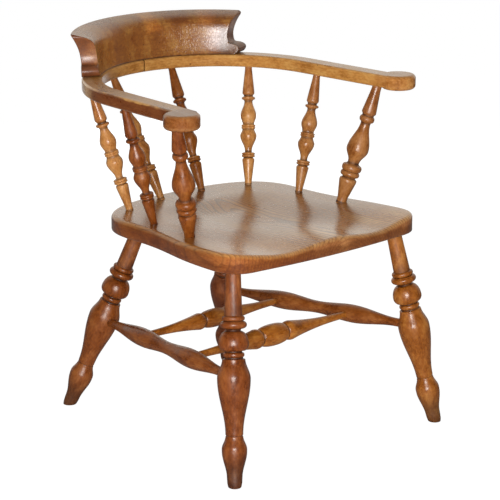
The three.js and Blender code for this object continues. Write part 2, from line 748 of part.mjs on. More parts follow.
const sideStretchers = {};
for (const side of SIDES) {
  const front = makeLeg(side, 'front', seat);
  const back = makeLeg(side, 'back', seat);
  makeUprights(side, seat, arms[side.name]);
  sideStretchers[side.name] = makeSideStretcher(side, front, back);
}
const { left, right } = sideStretchers;
makeCrossStretcher('front', CROSS_STRETCHER.frontRadius, CROSS_FRONT_SHARE, left, right);
makeCrossStretcher('back', CROSS_STRETCHER.backRadius, CROSS_BACK_SHARE, left, right);

export default chair;
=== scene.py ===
"""Captains chair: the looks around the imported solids.

Metres in the solids' own frame: +Z up, the front towards -Y, left and right as seen from the front.
Tables of sizes are in millimetres, as in the part's source, and turn into metres through MM.
The tables of light and wood are in metres, and their noises count cycles in a metre.
"""
import json
import math
from contextlib import contextmanager
from functools import partial, reduce
from types import SimpleNamespace as Table

import bmesh
import bpy
import numpy as np
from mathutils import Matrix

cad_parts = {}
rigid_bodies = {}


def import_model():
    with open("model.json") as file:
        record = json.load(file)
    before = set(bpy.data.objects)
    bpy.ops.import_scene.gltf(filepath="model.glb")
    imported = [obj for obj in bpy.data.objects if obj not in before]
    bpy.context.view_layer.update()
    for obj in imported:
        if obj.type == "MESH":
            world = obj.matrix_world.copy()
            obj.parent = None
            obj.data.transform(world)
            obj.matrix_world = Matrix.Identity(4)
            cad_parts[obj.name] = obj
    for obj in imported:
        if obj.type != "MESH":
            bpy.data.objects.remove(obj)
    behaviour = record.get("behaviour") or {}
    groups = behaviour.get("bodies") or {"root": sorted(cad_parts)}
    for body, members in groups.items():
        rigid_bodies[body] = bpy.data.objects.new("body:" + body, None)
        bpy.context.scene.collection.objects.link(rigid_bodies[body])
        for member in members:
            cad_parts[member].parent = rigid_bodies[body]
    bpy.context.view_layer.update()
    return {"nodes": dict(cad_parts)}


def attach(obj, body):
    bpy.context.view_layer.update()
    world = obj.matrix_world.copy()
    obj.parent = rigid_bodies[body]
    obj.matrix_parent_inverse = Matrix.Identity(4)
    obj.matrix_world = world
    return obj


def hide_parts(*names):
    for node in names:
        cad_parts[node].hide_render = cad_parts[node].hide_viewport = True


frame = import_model()
MM = 0.001
BODY = "root"
SIDES = {"left": -1, "right": 1}

# Camera: the photograph's point of view
CAMERA = Table(
    place=(-2.8089, -3.1867, 1.5299), tilt_deg=74.396, turn_deg=-41.901,
    focal_pixels=2200, picture_pixels=500, sensor_mm=36,
)

# Floor and world look white, but the polish mirrors a room that is dim on the camera's side
WHITE = (1, 1, 1)
ROOM = Table(towards=(-0.662, -0.749, 0), aside=(0.749, -0.662, 0), brightness=0.12)
FLOOR = Table(
    half_width=14, white=0.965, bounce_color=(0.8, 0.79, 0.78), shadow_color=(0.12, 0.12, 0.12),
    room_limits=(-2.7, -1.9), aside_limits=(0.9, 2.0),
)
WORLD = Table(
    glossy_color=(1, 0.93, 0.83), room_limits=(-0.75, -0.25),
    light_limits=(-0.3, 0.9), light_levels=(0.04, 0.33),
)
# Square soft lamps: side and height in degrees, distance and width in metres, power in watts.
# The glint lamp stands where the key lamp does, and only makes glints on the pieces named below.
KEY_PLACE = dict(azimuth=-42, elevation=11, distance=2.8, width=0.8)
LAMPS = {
    "key": Table(**KEY_PLACE, power=80),
    "back": Table(azimuth=150, elevation=4, distance=2.8, width=1.4, power=50),
    "glint": Table(**KEY_PLACE, power=95),
}
LAMP_TARGET = (0, 0, 0.42)
GLINTING = ("leg", "spindle", "arm_post", "stretcher", "crest_rail")

# Sizes of the solids
GAP = 0.3
SEAT = Table(
    top_z=430, thickness=34, front_y=-301.5, front_bow=10, front_half_width=250,
    front_corner=64, waist_half_width=225, waist_y=38.5, back_y=188.5,
    top_rounding=9, bottom_chamfer=8,
)
SADDLE = Table(
    dish_depth=11, dish_half_width=175, dish_back_y=95, hollow_start_y=-75,
    hollow_depth=10, hollow_x=122, corner_rise=5,
)
SEAT_BACK_HANDLE_SHARES = Table(side_x=1.03, side_y=0.795, back_x=0.633)
BOW = Table(underside_z=667, thickness=25.5, width=39.5, radius=250.5, centre_y=36, straight=237, rounding=5)
ARM_SPLAY_DEG = 3.6
HAND = Table(radius=34.5, outset=16.5, drop=4, rounding=8)
CREST = Table(
    depth=60, middle_height=86.5, end_height=84, end_reach=16.4, edge_thickness=0.3, edge_rounding=1.6,
)
CREST_HALF_ANGLE_DEG = 49
CREST_FRONT_SHARES = Table(lean=0.24, lean_power=0.55, flare_power=10.5)
CREST_BACK_POWER = 2.6
# Height share and reach share up each end of the crest: a roll, a groove, then a hollow to the top corner
CREST_END_SHARES = [
    (0, -0.18), (0.03, 0.2), (0.12, 0.47), (0.2, 0.35), (0.25, -0.1), (0.27, -0.73), (0.34, -0.9),
    (0.46, -1), (0.6, -0.95), (0.74, -0.8), (0.84, -0.64), (0.9, -0.53), (0.94, -0.5),
    (0.975, -0.6), (1, -0.85),
]
CREST_END_TURN_SHARE = 0.25
# How far up the crest the dirt of its joint with the bow reaches
CREST_JOINT_SHARE = 0.05
LEG = Table(
    widest_radius=31.5, tenon=12, feet={"front": (269.7, -314.3), "back": (216.8, 260.4)},
    tops={"front": (211.4, -244.5), "back": (106, 149)},
)
SPINDLE = Table(widest_radius=17, inset=33.3, foot_tenon=8, head_tenon=8)
POST = Table(widest_radius=22.5, inset=39, foot_tenon=8, head_tenon=8)
POST_PLACE_SHARES = (0.479, 0.935)
SPINDLE_PLACE_SHARES = [(0.607, 0.667), (0.79, 0.394), (0.935, 0.128)]
SIDE_STRETCHER = Table(widest_radius=18.5, front_height=205, back_height=197.5, axis_gap=13)
CROSS_STRETCHER = Table(
    radii={"front": 22, "back": 19}, places={"front": 0.322, "back": 0.686}, tenon_radius=7, axis_gap=5,
)

# Rows of a turning: the shape, its start and end as shares of the length,
# then its start radius and its end or peak radius as shares of the widest radius.
# A curve is S-shaped, a taper thins fast at first, a cup and a dome are the halves of a ball,
# and a bead peaks midway.
LEG_ROWS = [
    ("line", 0, 0.02, 0.403, 0.445),
    ("line", 0.02, 0.045, 0.445, 0.465),
    ("curve", 0.045, 0.172, 0.465, 0.755),
    ("curve", 0.18, 0.241, 0.755, 0.53),
    ("line", 0.243, 0.246, 0.49, 0.5),
    ("curve", 0.248, 0.515, 0.53, 1),
    ("curve", 0.515, 0.606, 1, 0.69),
    ("line", 0.608, 0.614, 0.56, 0.56),
    ("bead", 0.616, 0.636, 0.57, 0.645),
    ("line", 0.638, 0.644, 0.5, 0.5),
    ("cup", 0.645, 0.675, 0.6, 0.91),
    ("dome", 0.675, 0.738, 0.91, 0.43),
    ("line", 0.739, 0.747, 0.43, 0.45),
    ("bead", 0.749, 0.786, 0.52, 0.8),
    ("bead", 0.787, 0.808, 0.58, 0.68),
    ("line", 0.81, 1, 0.53, 0.47),
]
SPINDLE_ROWS = [
    ("line", 0, 0.03, 0.43, 0.43),
    ("line", 0.03, 0.2, 0.43, 0.74),
    ("line", 0.213, 0.224, 0.74, 0.56),
    ("bead", 0.229, 0.248, 0.65, 0.82),
    ("bead", 0.248, 0.267, 0.65, 0.82),
    ("line", 0.27, 0.285, 0.43, 0.43),
    ("curve", 0.285, 0.41, 0.43, 1),
    ("curve", 0.41, 0.465, 1, 0.74),
    ("bead", 0.467, 0.484, 0.74, 0.88),
    ("bead", 0.484, 0.501, 0.74, 0.88),
    ("curve", 0.504, 0.577, 0.7, 0.97),
    ("curve", 0.577, 0.7, 0.97, 0.49),
    ("bead", 0.712, 0.737, 0.6, 0.82),
    ("line", 0.74, 0.746, 0.55, 0.55),
    ("curve", 0.746, 0.768, 0.55, 0.735),
    ("line", 0.78, 0.97, 0.73, 0.43),
    ("line", 0.97, 1, 0.43, 0.43),
]
POST_ROWS = [
    ("line", 0, 0.04, 0.467, 0.467),
    ("line", 0.04, 0.18, 0.467, 0.79),
    ("line", 0.198, 0.21, 0.77, 0.55),
    ("bead", 0.22, 0.264, 0.66, 0.87),
    ("bead", 0.264, 0.321, 0.7, 0.9),
    ("line", 0.323, 0.336, 0.62, 0.5),
    ("curve", 0.342, 0.452, 0.52, 1),
    ("curve", 0.452, 0.675, 1, 0.44),
    ("bead", 0.685, 0.736, 0.5, 0.68),
    ("line", 0.738, 0.744, 0.53, 0.53),
    ("curve", 0.744, 0.765, 0.53, 0.66),
    ("line", 0.775, 0.96, 0.65, 0.42),
    ("line", 0.96, 1, 0.42, 0.42),
]
SIDE_ROWS = [
    ("line", 0.03, 0.085, 0.46, 0.46),
    ("curve", 0.085, 0.31, 0.46, 1),
    ("curve", 0.31, 0.49, 1, 0.68),
    ("curve", 0.49, 0.67, 0.68, 1),
    ("curve", 0.67, 0.915, 1, 0.46),
    ("line", 0.915, 0.97, 0.46, 0.46),
]
# From the middle of a cross stretcher: a barrel, then a vase that thins out to the tenon's own radius
CROSS_BARREL = ("bead", -0.15, 0.15, 0.68, 1)
CROSS_SHOULDER = ("cup", 0.155, 0.215, 0.64, 0.9)
CROSS_TAPER = ("taper", 0.215, 0.9, 0.9)
TAPER_POWER = 2.2

# How fine the meshes are
TURNED_SEGMENTS = 40
ROW_STEPS = 24
PROFILE_SPACING = 0.5
PROFILE_TOLERANCE = 0.025
SEAT_HALF_POINTS = 160
SEAT_TOP_RINGS = 60
SEAT_FIRST_RING_SHARE = 0.01
SEAT_SIDE_SHARES = (0.33, 0.67)
SEAT_UNDERSIDE_SHARES = (0.8, 0.5, 0.2)
BOW_STEPS = 90
HAND_STEPS = 96
ROUNDING_STEPS = 6
CREST_COLUMNS = 90
CREST_ROUNDING_STEPS = 4
CREST_CURVE_STEP = 0.1
CREST_SECTION_SPACING = 1.2
TANGENT_REACH = 0.5
ACROSS_LIMIT = 0.8
BLUR_REACH = 3
MITRE_LEAST_SCALE = 0.3
SHARP_ANGLE_DEG = 50
FLAT_FACE_WEIGHT = 100

# Wear: rounded edges, and the relief, which is above 0 in grooves and joints and below 0 on edges
PROFILE_SOFTENING = 0.55
CREST_SOFTENING = 1.2
CREST_LEAST_THICKNESS = 0.3
FOOT_REACH = 14
FOOT_EDGE = Table(rises=(0, 0.5, 1.6), insets=(1.8, 0.6, 0), reliefs=(-1, -1, -0.5), end=2)
RELIEF_REACH = 5
RELIEF_DEPTH = 1.5
JOINT_DIRT = 3
JOINT_RELIEF = 1.1
JOINT_POINTS = 5
SEAT_CHAMFER_RELIEF = -0.6
UNDERSIDE_RELIEF = 0.3
ARM_EDGE_RELIEF = -0.6
ARM_EDGE_SHARE = 0.3
CREST_END_RELIEF = 0.7


# Worked-out places
SEAT_BOTTOM_Z = SEAT.top_z - SEAT.thickness
SEAT_MIDDLE = np.array([0, (SEAT.front_y + SEAT.back_y) / 2])
BOW_TOP_Z = BOW.underside_z + BOW.thickness
BOW_ARC = BOW.radius * (math.pi / 2 - math.radians(ARM_SPLAY_DEG))
BOW_LENGTH = BOW_ARC + BOW.straight


# Meshes

def add_object(name, data):
    made = bpy.data.objects.new(name, data)
    bpy.context.scene.collection.objects.link(made)
    return made


def new_mesh(name, points, faces):
    """A mesh from points in millimetres."""
    mesh = bpy.data.meshes.new(name)
    mesh.from_pydata((np.asarray(points) * MM).tolist(), [], faces)
    return mesh


def set_attribute(mesh, name, values):
    """Puts a number or a vector on each point of a mesh."""
    values = np.asarray(values, np.float32)
    kind, field = ("FLOAT", "value") if values.ndim == 1 else ("FLOAT_VECTOR", "vector")
    mesh.attributes.new(name, kind, "POINT").data.foreach_set(field, values.ravel())


def dress(name, mesh, grain, relief, material):
    """Makes a mesh the piece that is seen instead of the solid of that name.

    grain is a place in millimetres whose x runs along the grain; relief is as in the wear above.
    """
    set_attribute(mesh, "grain", np.asarray(grain, np.float32) * MM)
    set_attribute(mesh, "relief", relief)
    mesh.validate()
    mesh.shade_smooth()
    mesh.materials.clear()
    mesh.materials.append(material)
    piece = add_object(name, mesh)
    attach(piece, BODY)
    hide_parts(name)
    return piece


@contextmanager
def edited(mesh):
    """A mesh opened for editing, and written back at the end."""
    work = bmesh.new()
    work.from_mesh(mesh)
    yield work
    work.to_mesh(mesh)
    work.free()


def ring_faces(rings, count):
    """Faces that join rings of equal size, laid one after the other in the point list."""
    faces = []
    for ring in range(rings - 1):
        low = ring * count
        high = low + count
        for i in range(count):
            j = (i + 1) % count
            faces.append((low + i, low + j, high + j, high + i))
    return faces


def closed_faces(rings, count):
    """Faces that join rings and close the first and the last."""
    final = (rings - 1) * count
    return [*ring_faces(rings, count), tuple(range(count))[::-1], tuple(range(final, final + count))]


def at_height(flat, height):
    """Flat points raised to one height, or to a height each."""
    return np.column_stack([flat, np.broadcast_to(height, len(flat))])


def running_total(steps):
    return np.concatenate([[0], np.cumsum(steps)])


def smoothstep(value):
    value = np.clip(value, 0, 1)
    return value * value * (3 - 2 * value)


def blurred(values, sigma):
    """Gaussian blur of a list whose ends are held."""
    reach = max(1, int(math.ceil(BLUR_REACH * sigma)))
    weights = np.exp(-0.5 * (np.arange(-reach, reach + 1) / sigma) ** 2)
    padded = np.pad(values, reach, mode="edge")
    return np.convolve(padded, weights / weights.sum(), mode="valid")


# Turnings

def eased(t):
    return (1 - math.cos(math.pi * t)) / 2


def row_points(row):
    """Points along one row, as shares of the length and of the widest radius."""
    shape, start, end, first, last = row
    found = []
    for step in range(ROW_STEPS + 1):
        t = step / ROW_STEPS
        sine, cosine = math.sin(math.pi / 2 * t), math.cos(math.pi / 2 * t)
        along, out = {
            "line": (t, t),
            "curve": (t, eased(t)),
            "taper": (t, 1 - (1 - t) ** TAPER_POWER),
            "cup": (1 - cosine, sine),
            "dome": (sine, 1 - cosine),
            "bead": (eased(t), math.sin(math.pi * t)),
        }[shape]
        found.append((start + (end - start) * along, first + (last - first) * out))
    return found


def profile_from(rows, length, widest):
    return [(share * length, radius * widest) for row in rows for share, radius in row_points(row)]


def simplified(points, tolerance):
    """Which points to keep: the others lie within the tolerance of the line between those kept."""
    keep = np.zeros(len(points), bool)
    keep[[0, -1]] = True
    spans = [(0, len(points) - 1)]
    while spans:
        first, last = spans.pop()
        if last - first < 2:
            continue
        chord = points[last] - points[first]
        offsets = points[first + 1:last] - points[first]
        away = np.abs(offsets[:, 0] * chord[1] - offsets[:, 1] * chord[0]) / np.hypot(*chord)
        worst = int(away.argmax())
        if away[worst] > tolerance:
            middle = first + 1 + worst
            keep[middle] = True
            spans += [(first, middle), (middle, last)]
    return keep


def softened_profile(points, low_end, high_end):
    """Even, slightly worn profile with straight tenons, and how deep each point lies in a groove."""
    outline = np.array([(low_end, points[0][1]), *points, (high_end, points[-1][1])])
    run = running_total(np.hypot(*np.diff(outline, axis=0).T))
    even = np.arange(0, run[-1], PROFILE_SPACING)
    sigma = PROFILE_SOFTENING / PROFILE_SPACING
    place, radius = [blurred(np.interp(even, run, column), sigma) for column in outline.T]
    relief = (blurred(radius, RELIEF_REACH / PROFILE_SPACING) - radius) / RELIEF_DEPTH
    keep = simplified(np.stack([place, radius], 1), PROFILE_TOLERANCE)
    return place[keep], radius[keep], np.clip(relief[keep], -1, 1)


def with_joints(outline, *joints):
    """Adds dirt where a turned piece enters another, at each joint's place along it."""
    place, radius, relief = outline
    added = np.add.outer(joints, np.linspace(-JOINT_DIRT, JOINT_DIRT, JOINT_POINTS)).ravel()
    every = np.unique(np.concatenate([place, np.clip(added, place[0], place[-1])]))
    dirt = np.zeros(len(every))
    for joint in joints:
        dirt = np.maximum(dirt, JOINT_RELIEF * smoothstep(2 - 2 * np.abs(every - joint) / JOINT_DIRT))
    return every, np.interp(every, place, radius), np.maximum(np.interp(every, place, relief), dirt)


def with_worn_foot(outline):
    """Rounds the edge that a leg stands on."""
    kept = outline[0] > FOOT_EDGE.end
    edge = FOOT_EDGE.rises, outline[1][0] - np.array(FOOT_EDGE.insets), FOOT_EDGE.reliefs
    return [np.concatenate([new, old[kept]]) for new, old in zip(edge, outline)]


def axis_frame(start, end):
    """Unit vector along a piece and two across it."""
    along = (end - start) / np.linalg.norm(end - start)
    across = np.cross(along, [0, 1, 0] if abs(along[1]) < ACROSS_LIMIT else [1, 0, 0])
    across /= np.linalg.norm(across)
    return along, across, np.cross(along, across)


def lathe(name, start, end, outline, foot_reach=0):
    """A turned piece between two points; within its foot reach it turns level, to lie flat on the floor."""
    along, across, other = axis_frame(start, end)
    angles = np.arange(TURNED_SEGMENTS) * 2 * math.pi / TURNED_SEGMENTS
    spokes = np.outer(np.cos(angles), across) + np.outer(np.sin(angles), other)
    points, grain = [], []
    for distance, size, _ in zip(*outline):
        shift = np.full(TURNED_SEGMENTS, distance)
        if foot_reach:
            fade = 1 - smoothstep((distance - foot_reach) / foot_reach)
            shift = shift - fade * size * spokes[:, 2] / along[2]
        points.append(start + np.outer(shift, along) + size * spokes)
        grain.append(np.stack([shift, size * np.cos(angles), size * np.sin(angles)], 1))
    mesh = new_mesh(name, np.concatenate(points), closed_faces(len(points), TURNED_SEGMENTS))
    relief = np.repeat(outline[-1], TURNED_SEGMENTS)
    return dress(name, mesh, np.concatenate(grain), relief, turned_material(name))


# Seat

def bezier(points, count):
    t = np.linspace(0, 1, count)[:, None]
    last = len(points) - 1
    weights = [math.comb(last, i) * (1 - t) ** (last - i) * t ** i for i in range(last + 1)]
    return sum(weight * point for weight, point in zip(weights, np.array(points)))


def seat_half_outline():
    """Dense points round the right half, from the middle of the front to the middle of the back."""
    front, waist_y, back = SEAT.front_y, SEAT.waist_y, SEAT.back_y
    width, waist, shares = SEAT.front_half_width, SEAT.waist_half_width, SEAT_BACK_HANDLE_SHARES
    corner_y = front + SEAT.front_bow
    front_x = width - SEAT.front_corner
    side_y = corner_y + SEAT.front_corner
    handle_y = (side_y + waist_y) / 2
    rise = waist_y + (back - waist_y) * shares.side_y
    curves = [
        [(0, front), (front_x / 2, front), (front_x, corner_y)],
        [(front_x, corner_y), (width, corner_y), (width, side_y)],
        [(width, side_y), (width, handle_y), (waist, handle_y), (waist, waist_y)],
        [(waist, waist_y), (waist * shares.side_x, rise), (waist * shares.back_x, back), (0, back)],
    ]
    found = [bezier(curve, SEAT_HALF_POINTS) for curve in curves]
    return np.concatenate([found[0]] + [points[1:] for points in found[1:]])


def at_share(path, share):
    """The point and direction at a share of a path's length."""
    run = running_total(np.hypot(*np.diff(path, axis=0).T))
    place = np.asarray(share) * run[-1]
    behind, here, ahead = [
        np.stack([np.interp(place + step, run, column) for column in path.T], -1)
        for step in (-TANGENT_REACH, 0, TANGENT_REACH)
    ]
    tangent = ahead - behind
    return here, tangent / np.linalg.norm(tangent, axis=-1, keepdims=True)


def saddle_drop(x, y):
    """How far the saddled top lies below the rim."""
    x = np.abs(x)
    across = np.minimum(x / SADDLE.dish_half_width, 1)
    dish = SADDLE.dish_depth * np.cos(math.pi / 2 * across) ** 2 * (1 - smoothstep(y / SADDLE.dish_back_y))
    hollow_across = np.minimum(x / (2 * SADDLE.hollow_x), 1)
    hollow = SADDLE.hollow_depth * np.sin(math.pi * hollow_across) ** 2
    corner_run = SEAT.front_half_width - SADDLE.hollow_x
    corner = SADDLE.corner_rise * smoothstep((x - SADDLE.hollow_x) / corner_run)
    towards_front = smoothstep((SADDLE.hollow_start_y - y) / (SADDLE.hollow_start_y - SEAT.front_y))
    return dish * (1 - towards_front) + (hollow - corner) * towards_front


def inward_normals(outline):
    """Mitred inward normals of a counterclockwise outline."""
    edges = np.roll(outline, -1, axis=0) - outline
    edges /= np.linalg.norm(edges, axis=1, keepdims=True)
    after = np.stack([-edges[:, 1], edges[:, 0]], 1)
    before = np.roll(after, 1, axis=0)
    scale = 1 + (before * after).sum(1, keepdims=True)
    return (before + after) / np.maximum(scale, MITRE_LEAST_SCALE)


def on_saddle(flat, drop=0):
    """Flat points raised to the seat's top, or that far below it."""
    return at_height(flat, SEAT.top_z - saddle_drop(flat[:, 0], flat[:, 1]) - drop)


def seat_rings():
    """Rings and their reliefs, from the middle of the top over the edge to the middle of the underside."""
    half, _ = at_share(seat_half_outline(), np.linspace(0, 1, SEAT_HALF_POINTS + 1))
    outline = np.concatenate([half, half[1:-1][::-1] * [-1, 1]])
    normals = inward_normals(outline)
    rounding, chamfer = SEAT.top_rounding, SEAT.bottom_chamfer
    rim = outline + normals * rounding
    found = []
    for share in np.linspace(SEAT_FIRST_RING_SHARE, 1, SEAT_TOP_RINGS):
        found.append((on_saddle(SEAT_MIDDLE + (rim - SEAT_MIDDLE) * share), 0))
    for angle in np.linspace(0, math.pi / 2, ROUNDING_STEPS + 2)[1:]:
        flat = outline + normals * rounding * (1 - math.sin(angle))
        found.append((on_saddle(flat, rounding * (1 - math.cos(angle))), -math.sin(2 * angle)))
    side_top = found[-1][0][:, 2]
    side_bottom = SEAT_BOTTOM_Z + chamfer / 2
    for share in SEAT_SIDE_SHARES:
        found.append((at_height(outline, side_top + (side_bottom - side_top) * share), 0))
    for angle in np.linspace(0, math.pi / 2, ROUNDING_STEPS):
        flat = outline + normals * chamfer * (1 - math.cos(angle))
        z = SEAT_BOTTOM_Z + chamfer / 2 * (1 - math.sin(angle))
        found.append((at_height(flat, z), SEAT_CHAMFER_RELIEF * math.sin(2 * angle)))
    for share in SEAT_UNDERSIDE_SHARES:
        flat = SEAT_MIDDLE + (outline - SEAT_MIDDLE) * share
        found.append((at_height(flat, SEAT_BOTTOM_Z), UNDERSIDE_RELIEF))
    return zip(*found)


def make_seat(material):
    rings, reliefs = seat_rings()
    count = len(rings[0])
    points = np.concatenate(rings)
    faces = [face[::-1] for face in closed_faces(len(rings), count)]
    mesh = new_mesh("seat", points, faces)
    dress("seat", mesh, points[:, [1, 0, 2]], np.repeat(reliefs, count), material)
    past_top = np.arange(len(rings)) - SEAT_TOP_RINGS - 1
    # side marks the band round the seat, which the material paints darker as shade
    set_attribute(mesh, "side", np.repeat(smoothstep(past_top / ROUNDING_STEPS), count))


def seat_station(share, inset, sign):
    """A place on the seat's top, inset from a share of the way round one side."""
    edge, along = at_share(seat_half_outline(), share)
    x, y = edge[0] - along[1] * inset, edge[1] + along[0] * inset
    return np.array([sign * x, y, SEAT.top_z - float(saddle_drop(x, y))])


# Arm bow

def bow_axes(angle):
    """Unit vectors out of the bow and along it, where the way out has that angle."""
    outward = np.array([math.cos(angle), math.sin(angle)])
    return outward, np.array([outward[1], -outward[0]])


def bow_point(distance, offset):
    """A place that far along the bow from the middle of the back, and that far out of its centre line."""
    on_arc = min(distance, BOW_ARC)
    outward, forward = bow_axes(math.pi / 2 - on_arc / BOW.radius)
    middle = outward * BOW.radius + [0, BOW.centre_y] + forward * (distance - on_arc)
    return middle + outward * offset


def bow_grain(points, sign):
    """Grain coordinates that follow the bow: along it from the middle of the back, out of it and up."""
    flat = points[:, :2] * [sign, 1] - [0, BOW.centre_y]
    angle = np.arctan2(flat[:, 1], flat[:, 0])
    splay = math.radians(ARM_SPLAY_DEG)
    outward, forward = bow_axes(splay)
    along = np.where(angle < splay, BOW_ARC + flat @ forward, (math.pi / 2 - angle) * BOW.radius)
    out = np.where(angle < splay, flat @ outward, np.hypot(*flat.T)) - BOW.radius
    return np.column_stack([along, out, points[:, 2]])


def rounded_slab(name, outline, low_z, rounding):
    """A loose slab up to the bow's top, whose outline edges are rounded over."""
    normals = inward_normals(outline)
    rings = []
    for z, sign in ((low_z, -1), (BOW_TOP_Z, 1)):
        for angle in np.linspace(0, math.pi / 2, ROUNDING_STEPS + 1)[::-sign]:
            flat = outline + normals * rounding * (1 - math.sin(angle))
            rings.append(at_height(flat, z - sign * rounding * (1 - math.cos(angle))))
    mesh = new_mesh(name, np.concatenate(rings), closed_faces(len(rings), len(outline)))
    return add_object(name, mesh)


def joined(first, second, name):
    """The union of two closed objects as one mesh; both go away."""
    modifier = first.modifiers.new("union", "BOOLEAN")
    modifier.operation = "UNION"
    modifier.solver = "EXACT"
    modifier.object = second
    graph = bpy.context.evaluated_depsgraph_get()
    mesh = bpy.data.meshes.new_from_object(first.evaluated_get(graph))
    mesh.name = name
    for old in (first, second):
        bpy.data.objects.remove(old)
    return mesh


def cut_at_middle(mesh):
    """Cuts a right arm square just short of the middle of the back and closes it."""
    with edited(mesh) as work:
        everything = work.verts[:] + work.edges[:] + work.faces[:]
        cut = bmesh.ops.bisect_plane(
            work, geom=everything, plane_co=(GAP / 2 * MM, 0, 0), plane_no=(1, 0, 0), clear_inner=True,
        )
        edges = [item for item in cut["geom_cut"] if isinstance(item, bmesh.types.BMEdge)]
        bmesh.ops.contextual_create(work, geom=edges)
        bmesh.ops.recalc_face_normals(work, faces=work.faces[:])


def flip(mesh):
    """Mirrors a mesh to the other side."""
    with edited(mesh) as work:
        for vert in work.verts:
            vert.co.x = -vert.co.x
        bmesh.ops.reverse_faces(work, faces=work.faces[:])


def arm_relief(points):
    """Edges of the bow stand proud, so they wear."""
    to_top = np.minimum(BOW_TOP_Z - points[:, 2], points[:, 2] - BOW.underside_z)
    away = np.abs(to_top - BOW.rounding * ARM_EDGE_SHARE)
    return ARM_EDGE_RELIEF * np.clip(1 - away / BOW.rounding, 0, 1)


def make_arm(side, sign, material):
    """Half of the bow with its round hand, made on the right and flipped for the left."""
    name = f"arm_{side}"
    distances = [-BOW.width, *np.linspace(0, BOW_ARC, BOW_STEPS), BOW_LENGTH]
    outer, inner = [[bow_point(distance, offset) for distance in distances]
                    for offset in (BOW.width / 2, -BOW.width / 2)]
    band = rounded_slab("band", np.array(outer[::-1] + inner), BOW.underside_z, BOW.rounding)
    angles = np.arange(HAND_STEPS) * 2 * math.pi / HAND_STEPS
    circle = HAND.radius * np.column_stack([np.cos(angles), np.sin(angles)])
    centre = bow_point(BOW_LENGTH, HAND.outset)
    hand = rounded_slab("hand", centre + circle, BOW.underside_z - HAND.drop, HAND.rounding)
    mesh = joined(band, hand, name)
    cut_at_middle(mesh)
    if sign < 0:
        flip(mesh)
    points = np.array([vert.co for vert in mesh.vertices]) / MM
    weigh_normals(dress(name, mesh, bow_grain(points, sign), arm_relief(points), material))


def weigh_normals(piece):
    """Keeps flat faces flat in the shading beside their rounded edges."""
    modifier = piece.modifiers.new("weighted", "WEIGHTED_NORMAL")
    modifier.keep_sharp = True
    modifier.weight = FLAT_FACE_WEIGHT


# Crest rail

def crest_end_curve():
    """Smooth height and reach shares up one end, through the table's rows."""
    table = np.array(CREST_END_SHARES)
    padded = np.vstack([2 * table[0] - table[1], table, 2 * table[-1] - table[-2]])
    found = []
    for i in range(1, len(padded) - 2):
        a, b, c, d = padded[i - 1:i + 3]
        for t in np.arange(0, 1, CREST_CURVE_STEP):
            found.append(0.5 * (2 * b + (c - a) * t + (2 * a - 5 * b + 4 * c - d) * t ** 2
                                + (3 * b - a - 3 * c + d) * t ** 3))
    found.append(table[-1])
    return np.array(found)


def crest_front_depth(height):
    shares = CREST_FRONT_SHARES
    lean, flare = shares.lean, height ** shares.flare_power
    return CREST.depth * (lean * height ** shares.lean_power + (1 - lean) * flare)


def crest_back_depth(height):
    base = BOW.width / CREST.depth
    return CREST.depth * (base + (1 - base) * height ** CREST_BACK_POWER) + CREST.edge_thickness * height


def crest_section():
    """The closed section: up the front and down the back, as height share, reach share and depth."""
    rise = crest_end_curve()
    height, reach = np.clip(rise[:, 0], 0, 1), rise[:, 1]
    front = np.column_stack([height, reach, crest_front_depth(height)])
    back = np.column_stack([height, reach, crest_back_depth(height)])[::-1]
    path = np.vstack([front, back])
    size = [CREST.middle_height, CREST.end_reach, 1]
    run = running_total(np.linalg.norm(np.diff(path, axis=0) * size, axis=1))
    even = np.linspace(0, run[-1], int(run[-1] / CREST_SECTION_SPACING))
    section = np.column_stack([np.interp(even, run, column) for column in path.T])
    worn = np.column_stack([blurred(column, CREST_SOFTENING) for column in section.T])
    worn[[0, -1]] = section[[0, -1]]
    return worn


def crest_columns():
    """Each column's place from -1 to 1, how far it is drawn in, and how much thinner it is."""
    rounding = CREST.edge_rounding
    angles = np.linspace(0, math.pi / 2, CREST_ROUNDING_STEPS + 1)[:-1]
    edge = [(rounding * (1 - math.cos(angle)), rounding * (1 - math.sin(angle))) for angle in angles]
    middle = [(along, rounding, 0) for along in np.linspace(-1, 1, CREST_COLUMNS)]
    return [*((-1, *worn) for worn in edge), *middle, *((1, *worn) for worn in edge[::-1])]


def crest_column(section, along, inset, thinner):
    """The points, grain and relief of one column of the crest."""
    height, reach, depth = section.T
    inner = BOW.radius - BOW.width / 2
    out = reach * CREST.end_reach + CREST_END_TURN_SHARE * depth - inset
    angle = along * (math.radians(CREST_HALF_ANGLE_DEG) + out / inner)
    rise = CREST.middle_height + (CREST.end_height - CREST.middle_height) * along ** 2
    centre = (depth + depth[::-1]) / 2
    room = np.abs(depth - depth[::-1]) / 2
    kept = np.maximum(room - thinner, room * CREST_LEAST_THICKNESS)
    radius = inner + (centre + np.sign(depth - centre) * kept)
    z = BOW_TOP_Z + GAP + rise * height
    points = np.column_stack([radius * np.sin(angle), BOW.centre_y + radius * np.cos(angle), z])
    grain = np.column_stack([angle * BOW.radius, radius - BOW.radius, z])
    relief = np.maximum(smoothstep(1 - height / CREST_JOINT_SHARE), CREST_END_RELIEF if thinner else 0)
    return points, grain, relief


def crest_faces(columns, count):
    """Faces round the columns, and strips from front to back that close the first and the last."""
    faces = ring_faces(columns, count)
    for base, step in ((0, 1), ((columns - 1) * count, -1)):
        for i in range(count // 2 - 1):
            quad = (base + i, base + i + 1, base + count - 2 - i, base + count - 1 - i)
            faces.append(quad[::step])
    return faces


